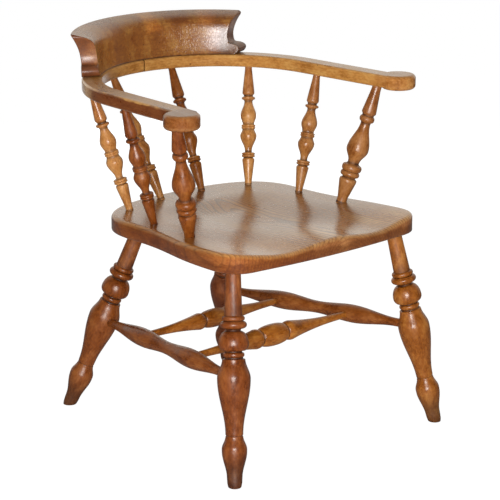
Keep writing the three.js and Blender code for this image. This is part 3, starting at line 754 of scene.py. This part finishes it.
def make_crest(material):
    section, columns = crest_section(), crest_columns()
    found = [crest_column(section, *column) for column in columns]
    points, grain, relief = [np.concatenate(values) for values in zip(*found)]
    mesh = new_mesh("crest_rail", points, crest_faces(len(columns), len(section)))
    dress("crest_rail", mesh, grain, relief, material)
    # side marks the end faces, which the material paints paler and pinker as a reflection
    set_attribute(mesh, "side", np.repeat([float(inset == 0) for _, inset, _ in columns], len(section)))
    with edited(mesh) as work:
        bmesh.ops.recalc_face_normals(work, faces=work.faces[:])
    mesh.set_sharp_from_angle(angle=math.radians(SHARP_ANGLE_DEG))


# Legs, spindles, posts and stretchers

def leg_ends(end, sign):
    foot, top = LEG.feet[end], LEG.tops[end]
    start = np.array([sign * foot[0], foot[1], 0.0])
    return start, np.array([sign * top[0], top[1], SEAT_BOTTOM_Z])


def on_leg(end, sign, distance):
    start, top = leg_ends(end, sign)
    return start + (top - start) / np.linalg.norm(top - start) * distance


def make_leg(side, sign, end):
    start, top = leg_ends(end, sign)
    visible = np.linalg.norm(top - start)
    profile = profile_from(LEG_ROWS, SEAT_BOTTOM_Z, LEG.widest_radius)
    outline = with_worn_foot(softened_profile(profile, 0, visible + LEG.tenon))
    lathe(f"leg_{end}_{side}", start, top, with_joints(outline, visible), FOOT_REACH)


def make_upright(name, size, rows, shares, sign):
    start = seat_station(shares[0], size.inset, sign)
    head = bow_point(shares[1] * BOW_LENGTH, 0)
    end = np.array([sign * head[0], head[1], BOW.underside_z])
    visible = np.linalg.norm(end - start)
    profile = profile_from(rows, visible, size.widest_radius)
    outline = softened_profile(profile, -size.foot_tenon, visible + size.head_tenon)
    lathe(name, start, end, with_joints(outline, 0, visible))


def make_stretcher(name, start, end, profile, gap):
    """A stretcher that stops a gap short of the axes of the pieces that it joins."""
    lathe(name, start, end, softened_profile(profile, gap, np.linalg.norm(end - start) - gap))


def side_ends(sign):
    return (on_leg("front", sign, SIDE_STRETCHER.front_height),
            on_leg("back", sign, SIDE_STRETCHER.back_height))


def make_side_stretcher(side, sign):
    start, end = side_ends(sign)
    profile = profile_from(SIDE_ROWS, np.linalg.norm(end - start), SIDE_STRETCHER.widest_radius)
    make_stretcher(f"stretcher_side_{side}", start, end, profile, SIDE_STRETCHER.axis_gap)


def cross_profile(length, radius):
    """A barrel between two long vases, each ending in a thin tenon."""
    taper = (*CROSS_TAPER, CROSS_STRETCHER.tenon_radius / radius)
    vase = profile_from([CROSS_SHOULDER, taper], length / 2, radius)
    mirrored = [(-place, size) for place, size in vase][::-1]
    barrel = profile_from([CROSS_BARREL], length / 2, radius)
    return [(place + length / 2, size) for place, size in [*mirrored, *barrel, *vase]]


def make_cross_stretcher(end):
    ends = [side_ends(sign) for sign in SIDES.values()]
    start, finish = [front + (back - front) * CROSS_STRETCHER.places[end] for front, back in ends]
    profile = cross_profile(np.linalg.norm(finish - start), CROSS_STRETCHER.radii[end])
    make_stretcher(f"stretcher_cross_{end}", start, finish, profile, CROSS_STRETCHER.axis_gap)


# Materials

def linear(code):
    """A linear colour from its six-digit code."""
    values = [int(code[i:i + 2], 16) / 255 for i in (0, 2, 4)]
    return tuple(v / 12.92 if v <= 0.04045 else ((v + 0.055) / 1.055) ** 2.4 for v in values)


def tones(**codes):
    """Linear colours of a wood, whose rings are as dark as its darkest tone unless they have their own."""
    return {"ring": linear(codes["dark"]), **{key: linear(code) for key, code in codes.items()}}


def between(first, second, share):
    return tuple(a + (b - a) * share for a, b in zip(first, second))


# Octaves of a noise, how rough they are, and the middle of its range
PLAIN, RICH, RICHEST = 1.0, 2.0, 3.0
NOISE_ROUGHNESS = 0.6
NOISE_MIDDLE = 0.5
# Sockets of the node that mixes colours: its factor and its two colours, then its result
MIX_INPUTS = (0, 6, 7)
MIX_OUTPUT = 2


class Graph:
    """Adds linked shader nodes to a material or a world."""

    def __init__(self, owner):
        owner.use_nodes = True
        self.tree = owner.node_tree
        self.tree.nodes.clear()

    def node(self, kind, inputs=None, **settings):
        made = self.tree.nodes.new("ShaderNode" + kind)
        for key, value in settings.items():
            setattr(made, key, value)
        for key, value in (inputs or {}).items():
            self.feed(made.inputs[key], value)
        return made

    def feed(self, socket, value):
        if isinstance(value, bpy.types.NodeSocket):
            self.tree.links.new(value, socket)
        elif socket.type == "RGBA" and len(value) == 3:
            socket.default_value = (*value, 1)
        else:
            socket.default_value = value

    def math(self, operation, *values):
        return self.node("Math", dict(enumerate(values)), operation=operation).outputs[0]

    def product(self, *values):
        return reduce(partial(self.math, "MULTIPLY"), values)

    def sum(self, *values):
        return reduce(partial(self.math, "ADD"), values)

    def vector(self, operation, *values):
        made = self.node("VectorMath", dict(enumerate(values)), operation=operation)
        return made.outputs["Value" if operation in ("DISTANCE", "DOT_PRODUCT") else "Vector"]

    def parts(self, vector):
        return self.node("SeparateXYZ", {0: vector}).outputs

    def attribute(self, name, output):
        return self.node("Attribute", attribute_name=name).outputs[output]

    def noise(self, place, cycles, detail=PLAIN, output="Fac"):
        """Noise with that many cycles a metre along the grain and across it."""
        stretched = self.vector("MULTIPLY", place, (cycles[0], cycles[1], cycles[1]))
        inputs = {"Vector": stretched, "Scale": 1.0, "Detail": detail, "Roughness": NOISE_ROUGHNESS}
        return self.node("TexNoise", inputs).outputs[output]

    def centred(self, value):
        """A noise's value counted from the middle of its range."""
        return self.math("SUBTRACT", value, NOISE_MIDDLE)

    def remap(self, value, low, high, start=0.0, end=1.0):
        names = {"Value": value, "From Min": low, "From Max": high, "To Min": start, "To Max": end}
        return self.node("MapRange", names, interpolation_type="SMOOTHSTEP").outputs[0]

    def choose(self, factor, at_zero, at_one):
        return self.remap(factor, 0.0, 1.0, at_zero, at_one)

    def mix(self, factor, first, second, blend="MIX"):
        made = self.node("Mix", data_type="RGBA", blend_type=blend)
        for index, value in zip(MIX_INPUTS, (factor, first, second)):
            self.feed(made.inputs[index], value)
        return made.outputs[MIX_OUTPUT]

    def stain(self, base, color, *factors, blend="MIX"):
        """Mixes a colour in by the product of the factors."""
        return self.mix(self.product(*factors), base, color, blend)

    def ramp(self, factor, stops):
        made = self.node("ValToRGB", {0: factor})
        elements = made.color_ramp.elements
        while len(elements) < len(stops):
            elements.new(NOISE_MIDDLE)
        for element, (position, color) in zip(elements, stops):
            element.position = position
            element.color = (*color, 1)
        return made.outputs[0]


def growth_rings(graph, place, rings):
    """Dark late wood of the yearly rings, from 0 to 1, as rings round an axis beside the piece."""
    drift = graph.noise(place, rings.drift_cycles, RICH, "Color")
    centred = graph.vector("SUBTRACT", drift, (NOISE_MIDDLE,) * 3)
    moved = graph.vector("MULTIPLY", centred, (rings.drift,) * 3)
    along, out, up = graph.parts(graph.vector("ADD", place, moved))
    out = graph.sum(out, graph.product(along, rings.tilt))
    flat = graph.node("CombineXYZ", {"Y": out, "Z": up}).outputs[0]
    radius = graph.vector("DISTANCE", flat, (0, *rings.axis))
    share = graph.math("FRACT", graph.math("DIVIDE", radius, rings.spacing))
    darkest, fading = RING_END
    rise = graph.remap(share, rings.late_share, darkest)
    return graph.product(rise, graph.remap(share, fading, 1.0, 1.0, 0.0))


def worm_holes(graph, place, look):
    """1 inside small round holes, scattered through some of the cells of a loose lattice."""
    made = graph.node("TexVoronoi", {"Vector": place, "Scale": look.hole_cycles})
    inside = graph.remap(made.outputs["Distance"], *look.hole_limits)
    pick = graph.parts(made.outputs["Color"])[0]
    return graph.product(inside, graph.math("LESS_THAN", pick, look.hole_share))


def crazing(graph, place, look):
    """Height of an old finish that has cracked into small islands."""
    drift = graph.noise(place, look.craze_drift_cycles, PLAIN, "Color")
    bent = graph.vector("ADD", place, graph.vector("MULTIPLY", drift, (look.craze_drift,) * 3))
    inputs = {"Vector": graph.vector("MULTIPLY", bent, look.craze_stretch), "Scale": look.craze_cycles}
    made = graph.node("TexVoronoi", inputs, feature="DISTANCE_TO_EDGE")
    return graph.remap(made.outputs["Distance"], 0.0, look.craze_width)


def wood_pattern(graph, rings, look):
    """What makes up the look of a wood, on its own coordinates."""
    grain = graph.attribute("grain", "Vector")
    place = graph.vector("ADD", grain, look.seed)
    # side is 1 on the seat's band and the crest's ends, where light and shade are painted
    side = graph.attribute("side", "Fac")
    relief = graph.attribute("relief", "Fac")
    return Table(
        parts=graph.parts(grain),
        place=place,
        side=side,
        groove=graph.remap(relief, *look.groove_limits),
        edge=graph.remap(relief, *look.edge_limits),
        mottle=graph.noise(place, look.mottle_cycles, RICHEST),
        streak=graph.noise(place, look.streak_cycles, RICHEST),
        late=graph.product(growth_rings(graph, place, rings), graph.choose(side, 1.0, look.side_rings)),
        pores=graph.remap(graph.noise(place, look.pore_cycles), *look.pore_limits),
        islands=crazing(graph, place, look),
        holes=worm_holes(graph, place, look),
    )


def wood_color(graph, pattern, colors, rings, look):
    """Tones, yearly rings and pores."""
    share = look.streak_share
    tint = graph.sum(graph.product(pattern.mottle, 1 - share), graph.product(pattern.streak, share))
    fleck = graph.centred(graph.noise(pattern.place, look.fleck_cycles))
    tint = graph.sum(tint, graph.product(fleck, look.fleck_share))
    base = graph.ramp(tint, list(zip(look.tone_places, (colors.dark, colors.mid, colors.light))))
    base = graph.stain(base, colors.ring, pattern.late, rings.contrast)
    return graph.stain(base, colors.dirt, pattern.pores, look.pore_share)


def add_zones(graph, pattern, base, look):
    """The colour changed in zones with soft uneven borders, and how much duller they are."""
    wobble = graph.product(graph.centred(pattern.mottle), look.wobble)
    dull = 0
    for limits, color, roughness in look.zones:
        bounds = [graph.remap(graph.sum(pattern.parts[axis], wobble), *span) for axis, *span in limits]
        base = graph.stain(base, color, *bounds, blend="MULTIPLY")
        dull = graph.sum(dull, graph.product(*bounds, roughness))
    return base, dull


def add_age_and_painted_sides(graph, pattern, base, colors, look):
    """The colour with dirt in grooves, cracks and worm holes, wear on the edges, and the sides' painted
    light: shade on the seat's band, a pale reflection on the crest's ends.
    """
    patchy = graph.remap(pattern.mottle, *look.patch_limits)
    base = graph.stain(base, colors.dirt, pattern.groove, patchy)
    rubbed = graph.remap(pattern.streak, *look.wear_limits, look.wear)
    base = graph.stain(base, colors.worn, pattern.edge, rubbed)
    # Painted light on the sides: the seat's band is painted darker as shade, the crest's ends paler and
    # pinker as a reflection
    base = graph.stain(base, look.side_color, pattern.side, blend="MULTIPLY")
    cracks = graph.math("SUBTRACT", 1.0, pattern.islands)
    base = graph.stain(base, colors.dirt, cracks, look.craze_dirt)
    return graph.stain(base, colors.dirt, pattern.holes)


def wood_bump(graph, pattern, look):
    """The normal over streaks, pores, holes and rings, then dents, then the finish's islands."""
    sunk = graph.sum(graph.product(pattern.pores, look.pore_bump), pattern.holes)
    fine = graph.math("SUBTRACT", graph.product(pattern.streak, look.streak_bump), sunk)
    fine = graph.math("SUBTRACT", fine, graph.product(pattern.late, look.ring_bump))
    layers = (
        (fine, look.fine_bump, look.fine_height),
        (graph.noise(pattern.place, look.dent_cycles), look.dent_bump, look.dent_height),
        (pattern.islands, look.craze_bump, look.craze_height),
    )
    found = {}
    for height, strength, distance in layers:
        inputs = {"Height": height, "Strength": strength, "Distance": distance, **found}
        found = {"Normal": graph.node("Bump", inputs).outputs[0]}
    return found["Normal"]


def wood(name, colors, rings, look):
    """Old polished wood."""
    material = bpy.data.materials.new(name)
    graph = Graph(material)
    colors, rings, look = Table(**colors), Table(**rings), Table(**look)
    pattern = wood_pattern(graph, rings, look)
    base, dull = add_zones(graph, pattern, wood_color(graph, pattern, colors, rings, look), look)
    rough = graph.remap(pattern.mottle, *look.gloss_limits, *look.roughness)
    groove = graph.product(pattern.groove, look.groove_roughness)
    side = graph.product(pattern.side, look.side_roughness)
    shader = graph.node("BsdfPrincipled", {
        "Base Color": add_age_and_painted_sides(graph, pattern, base, colors, look), "Normal": wood_bump(graph, pattern, look),
        "Roughness": graph.sum(rough, groove, dull, side), "IOR": look.ior, "Specular Tint": look.polish,
        "Coat Weight": look.coat, "Coat Roughness": look.coat_roughness,
    })
    graph.node("OutputMaterial", {"Surface": shader.outputs[0]})
    return material


# Woods. A pair of limits runs from where a thing starts to show to where it shows fully.
BROWN = tones(dark="52220a", mid="723610", light="8c4c20", dirt="220c04", worn="a2682e")
ORANGE = tones(dark="78400e", mid="9e5c1c", light="bc7c34", dirt="2e1204", worn="c88c48")
HONEY = tones(dark="985c2a", mid="c08446", light="d69f60", dirt="341806", worn="e6bc84")
SEAT_TONES = tones(dark="6e3e1a", mid="94602c", light="ae7e44", dirt="2a1206", worn="b68a56", ring="4a2410")
BOW_TONES = tones(dark="a0672a", mid="bf8440", light="d09c54", dirt="2a1408", worn="d2a468")
CREST_TONES = tones(dark="74401a", mid="905722", light="b07c3a", dirt="3a1c0a", worn="c09058")
LOOK = dict(
    seed=(0, 0, 0), tone_places=(0.29, 0.5, 0.71),
    mottle_cycles=(26, 48), streak_cycles=(14, 330), streak_share=0.15,
    fleck_cycles=(130, 240), fleck_share=0.35,
    pore_cycles=(90, 1500), pore_limits=(0.6, 0.72), pore_share=0.3,
    hole_cycles=70, hole_limits=(0.1, 0.06), hole_share=0.08,
    craze_cycles=260, craze_width=0.14, craze_stretch=(1, 1, 0.4), craze_dirt=0.0,
    craze_drift_cycles=(90, 90), craze_drift=0.006,
    wobble=0.02, zones=[],
    # side_color: what the sides' colour is multiplied by to paint light and shade on them, 1 for none
    side_color=(1, 1, 1), side_roughness=0.0, side_rings=0.4,
    groove_limits=(0.2, 1.1), groove_roughness=0.2, patch_limits=(0.3, 0.62, 0.95, 0.6),
    edge_limits=(-0.15, -1.0), wear_limits=(0.35, 0.65, 0.1), wear=0.4,
    gloss_limits=(0.3, 0.7), roughness=(0.22, 0.46), ior=1.47,
    polish=(1, 0.96, 0.92), coat=0.0, coat_roughness=0.2,
    streak_bump=0.5, pore_bump=0.4, ring_bump=0.0, fine_bump=0.1, fine_height=0.0004,
    dent_cycles=(90, 110), dent_bump=0.4, dent_height=0.0012,
    craze_bump=0.0, craze_height=0.0003,
)
# The shares of a ring where its late wood is darkest, and where it starts to fade
RING_END = (0.93, 0.95)
TURNED_RINGS = dict(
    drift_cycles=(6, 20), drift=0.006, tilt=0.03, axis=(0.055, 0.02),
    spacing=0.0042, late_share=0.25, contrast=0.16,
)
# The two tone sets that each turned piece lies between, and how far it goes to the second
TURNED_TONES = {
    "leg_front_left": (BROWN, ORANGE, 0.1),
    "leg_front_right": (BROWN, ORANGE, 0.7),
    "leg_back_left": (BROWN, ORANGE, 0.2),
    "leg_back_right": (BROWN, ORANGE, 0.0),
    "arm_post_left": (BROWN, ORANGE, 0.25),
    "arm_post_right": (BROWN, HONEY, 0.46),
    "spindle_left_1": (BROWN, ORANGE, 0.2),
    "spindle_left_2": (BROWN, HONEY, 0.82),
    "spindle_left_3": (ORANGE, HONEY, 0.5),
    "spindle_right_1": (BROWN, HONEY, 0.62),
    "spindle_right_2": (ORANGE, HONEY, 1.0),
    "spindle_right_3": (BROWN, ORANGE, 0.6),
    "stretcher_side_left": (BROWN, ORANGE, 0.2),
    "stretcher_side_right": (BROWN, ORANGE, 0.3),
    "stretcher_cross_front": (BROWN, ORANGE, 1.0),
    "stretcher_cross_back": (BROWN, ORANGE, 0.85),
}
# How the pattern moves, and its rings tilt, from one turned piece to the next
SEED_STEP = (1.7, 0.31, 0.47)
TILTS = 5
# Zones: limits of the grain's coordinates, what the colour is multiplied by there, and how much duller it is
FOOT_DIRT = ([(0, 0.075, 0.02)], (0.5, 0.54, 0.66), 0.2)
# The upper stem under the seat is painted paler and cooler, as light and a soft sheen, and it is also duller
STEM_PAINTED_LIGHT = ([(0, 0.31, 0.33)], (1.15, 1.2, 1.25), 0.2)
# Painted shade: each spindle and post darkens towards its head under the bow
HEAD_PAINTED_SHADE = ([(0, 0.15, 0.2)], (0.84, 0.76, 0.78), 0)
SEAT_RINGS = dict(
    drift_cycles=(3.5, 9), drift=0.035, tilt=0.06, axis=(0.02, 0.36),
    spacing=0.0065, late_share=0.55, contrast=0.8,
)
BOW_RINGS = dict(
    drift_cycles=(4, 14), drift=0.012, tilt=0.04, axis=(0.05, 0.62),
    spacing=0.005, late_share=0.3, contrast=0.2,
)
CREST_RINGS = dict(
    drift_cycles=(5, 12), drift=0.02, tilt=0.03, axis=(0.03, 0.66),
    spacing=0.006, late_share=0.3, contrast=0.14,
)
SEAT_LOOK = dict(
    LOOK, mottle_cycles=(9, 22), streak_cycles=(9, 300), streak_share=0.35,
    roughness=(0.24, 0.31), pore_share=0.5, fine_bump=0.3, ior=1.48,
    # The band round the seat is painted darker than the top, as shade
    dent_bump=0.15, side_color=(0.64, 0.45, 0.34), side_roughness=0.1, ring_bump=1.0,
    coat=0.85, coat_roughness=0.25,
    zones=[
        # Painted reflection: the left part is warmer, standing in for a weaker sheen there
        ([(1, -0.04, -0.16)], (1, 0.85, 0.6), 0),
        # Painted sheen: the front of the top is paler and greyer
        ([(0, -0.15, -0.25), (2, 0.412, 0.42)], (1.6, 1.9, 2.8), 0),
    ],
)
BOW_LOOK = dict(
    LOOK, mottle_cycles=(22, 60), craze_bump=0.1, dent_bump=0.15, coat=0.55,
    roughness=(0.25, 0.4), fleck_share=0.55,
)
BOW_LOOKS = {
    "left": dict(BOW_LOOK, zones=[
        ([(1, -0.005, 0.016), (0, 0.29, 0.34), (0, 0.6, 0.575), (2, 0.6925, 0.689)], (0.34, 0.2, 0.17), 0),
        ([(0, 0.575, 0.6)], (0.46, 0.34, 0.34), 0),
        # Painted reflection: the outer bend of the left arm is paler and greyer
        ([(1, 0, 0.016), (0, 0.12, 0.17), (0, 0.35, 0.29)], (1.3, 1.7, 3.5), 0),
    ]),
    "right": dict(BOW_LOOK, seed=(0.9, 0, 0), zones=[([(0, 0.57, 0.61)], (0.85, 0.78, 0.82), 0)]),
}
CREST_LOOK = dict(
    LOOK, mottle_cycles=(20, 14), roughness=(0.24, 0.3), craze_bump=0.5, hole_share=0.3,
    ior=1.5, coat=0.45, coat_roughness=0.24, dent_bump=0.15,
    # The ends are painted paler and pinker, as a reflection
    side_color=(1.15, 1.0, 1.1), side_roughness=0.2, craze_dirt=0.25, polish=(1, 1, 1),
    zones=[
        # Painted soft reflection: a paler golden patch right of the middle, near the top
        ([(0, 0.008, 0.024), (0, 0.06, 0.042), (2, 0.738, 0.75)], (1.45, 1.4, 1.3), 0),
        ([(0, 0.07, 0.09), (0, 0.135, 0.11), (2, 0.748, 0.762)], (0.78, 0.66, 0.6), 0),
        # Painted sheen: a pale glow further right, near the top
        ([(0, 0.13, 0.145), (0, 0.18, 0.16), (2, 0.75, 0.762)], (1.4, 1.4, 1.7), 0),
        (
            [(0, -0.05, -0.034), (0, -0.01, -0.027), (2, 0.718, 0.732), (2, 0.758, 0.744)],
            (0.72, 0.6, 0.52), 0,
        ),
        # Painted highlight: the lower front near the right end is cooler, so the lamp's gloss there looks
        # whiter
        ([(0, 0.17, 0.19), (1, -0.002, -0.008), (2, 0.755, 0.735)], (0.6, 0.75, 1.8), 0),
        ([(0, -0.05, -0.11)], (1.18, 1.18, 1.2), 0),
    ],
)
STEEL = Table(
    grime_cycles=(400, 400), tones=[(0.4, "5b5650"), (0.65, "8f8a82")],
    grime_limits=(0.35, 0.7), roughness=(0.35, 0.6),
)


def turned_material(name):
    index = list(TURNED_TONES).index(name)
    first, second, share = TURNED_TONES[name]
    mixed = {key: between(first[key], second[key], share) for key in first}
    seed = tuple(step * (index + 1) for step in SEED_STEP)
    axis = (TURNED_RINGS["axis"][0] + seed[1], TURNED_RINGS["axis"][1] + seed[2])
    tilt = TURNED_RINGS["tilt"] * (index % TILTS - TILTS // 2)
    zones = [HEAD_PAINTED_SHADE]
    if name.startswith("leg"):
        zones = [FOOT_DIRT, STEM_PAINTED_LIGHT]
    elif name.startswith("stretcher"):
        zones = []
    return wood(name, mixed, dict(TURNED_RINGS, axis=axis, tilt=tilt), dict(LOOK, seed=seed, zones=zones))


def steel():
    material = bpy.data.materials.new("screw_steel")
    graph = Graph(material)
    grime = graph.noise(graph.node("TexCoord").outputs["Object"], STEEL.grime_cycles, RICHEST)
    color = graph.ramp(grime, [(place, linear(code)) for place, code in STEEL.tones])
    rough = graph.remap(grime, *STEEL.grime_limits, *STEEL.roughness)
    shader = graph.node("BsdfPrincipled", {"Base Color": color, "Roughness": rough, "Metallic": 1.0})
    graph.node("OutputMaterial", {"Surface": shader.outputs[0]})
    return material


# Floor, light and camera

def seen_directly(graph):
    """1 for the rays that show a thing itself: to the camera, in a reflection or through glass."""
    path = graph.node("LightPath").outputs
    seen = graph.math("MAXIMUM", path["Is Camera Ray"], path["Is Glossy Ray"])
    return graph.math("MAXIMUM", seen, path["Is Transmission Ray"])


def room_brightness(graph, place, limits):
    """1, falling to the room's brightness on the camera's side."""
    towards = graph.vector("DOT_PRODUCT", place, ROOM.towards)
    return graph.remap(towards, *limits, 1.0, ROOM.brightness)


def make_floor():
    """A floor that looks white and still takes a faint shadow."""
    half = FLOOR.half_width
    corners = [(-half, -half, 0), (half, -half, 0), (half, half, 0), (-half, half, 0)]
    mesh = bpy.data.meshes.new("floor")
    mesh.from_pydata(corners, [], [(0, 1, 2, 3)])
    material = bpy.data.materials.new("floor")
    graph = Graph(material)
    seen = seen_directly(graph)
    color = graph.mix(seen, FLOOR.bounce_color, FLOOR.shadow_color)
    lit = graph.node("BsdfDiffuse", {"Color": color})
    place = graph.node("NewGeometry").outputs["Position"]
    aside = graph.math("ABSOLUTE", graph.vector("DOT_PRODUCT", place, ROOM.aside))
    ends = graph.remap(aside, *FLOOR.aside_limits, 1.0, ROOM.brightness)
    room = graph.product(room_brightness(graph, place, FLOOR.room_limits), ends)
    level = graph.choose(graph.node("LightPath").outputs["Is Glossy Ray"], seen, room)
    glow = graph.node("Emission", {"Strength": graph.product(level, FLOOR.white)})
    both = graph.node("AddShader", {0: lit.outputs[0], 1: glow.outputs[0]})
    graph.node("OutputMaterial", {"Surface": both.outputs[0]})
    mesh.materials.append(material)
    floor = add_object("floor", mesh)


def make_world():
    """White to the camera, a room in the polish, and as light brighter above than below."""
    world = bpy.data.worlds.new("studio")
    bpy.context.scene.world = world
    graph = Graph(world)
    path = graph.node("LightPath").outputs
    direction = graph.node("TexCoord").outputs["Generated"]
    room = room_brightness(graph, direction, WORLD.room_limits)
    light = graph.remap(graph.parts(direction)[2], *WORLD.light_limits, *WORLD.light_levels)
    level = graph.choose(path["Is Glossy Ray"], light, room)
    for ray in ("Is Camera Ray", "Is Transmission Ray"):
        level = graph.math("MAXIMUM", level, path[ray])
    color = graph.mix(path["Is Glossy Ray"], WHITE, WORLD.glossy_color)
    background = graph.node("Background", {"Color": color, "Strength": level})
    graph.node("OutputWorld", {"Surface": background.outputs[0]})


def make_lamp(name, receivers=None):
    """A lamp of the table: with receivers it only makes glints on them, and otherwise it makes none."""
    size = LAMPS[name]
    data = bpy.data.lights.new(name, "AREA")
    data.size = size.width
    data.energy = size.power
    lamp = add_object(name, data)
    a, e = math.radians(size.azimuth), math.radians(size.elevation)
    away = np.array([math.sin(a) * math.cos(e), -math.cos(a) * math.cos(e), math.sin(e)])
    lamp.location = np.array(LAMP_TARGET) + away * size.distance
    lamp.rotation_euler = (math.pi / 2 - e, 0, a)
    lamp.visible_camera = False
    lamp.visible_glossy = receivers is not None
    lamp.visible_diffuse = receivers is None
    if receivers:
        collection = bpy.data.collections.new(name + "_receivers")
        for piece in receivers:
            collection.objects.link(piece)
        lamp.light_linking.receiver_collection = collection


def make_camera():
    data = bpy.data.cameras.new("camera")
    data.sensor_width = CAMERA.sensor_mm
    data.lens = CAMERA.focal_pixels / CAMERA.picture_pixels * CAMERA.sensor_mm
    camera = add_object("camera", data)
    camera.location = CAMERA.place
    camera.rotation_euler = (math.radians(CAMERA.tilt_deg), 0, math.radians(CAMERA.turn_deg))
    bpy.context.scene.camera = camera


# The whole chair

make_camera()
make_world()
make_floor()
for name in ("key", "back"):
    make_lamp(name)
bpy.context.scene.view_settings.view_transform = "Standard"

make_seat(wood("seat_wood", SEAT_TONES, SEAT_RINGS, SEAT_LOOK))
for side, sign in SIDES.items():
    make_arm(side, sign, wood(f"bow_{side}_wood", BOW_TONES, BOW_RINGS, BOW_LOOKS[side]))
make_crest(wood("crest_wood", CREST_TONES, CREST_RINGS, CREST_LOOK))
for side, sign in SIDES.items():
    for end in ("front", "back"):
        make_leg(side, sign, end)
    make_upright(f"arm_post_{side}", POST, POST_ROWS, POST_PLACE_SHARES, sign)
    for index, shares in enumerate(SPINDLE_PLACE_SHARES):
        make_upright(f"spindle_{side}_{index + 1}", SPINDLE, SPINDLE_ROWS, shares, sign)
    make_side_stretcher(side, sign)
for end in CROSS_STRETCHER.places:
    make_cross_stretcher(end)
SCREW_METAL = steel()
for name, node in frame["nodes"].items():
    if name.startswith("crest_screw"):
        for slot in node.material_slots:
            slot.material = SCREW_METAL
make_lamp("glint", [piece for piece in bpy.context.scene.objects if piece.name.startswith(GLINTING)])
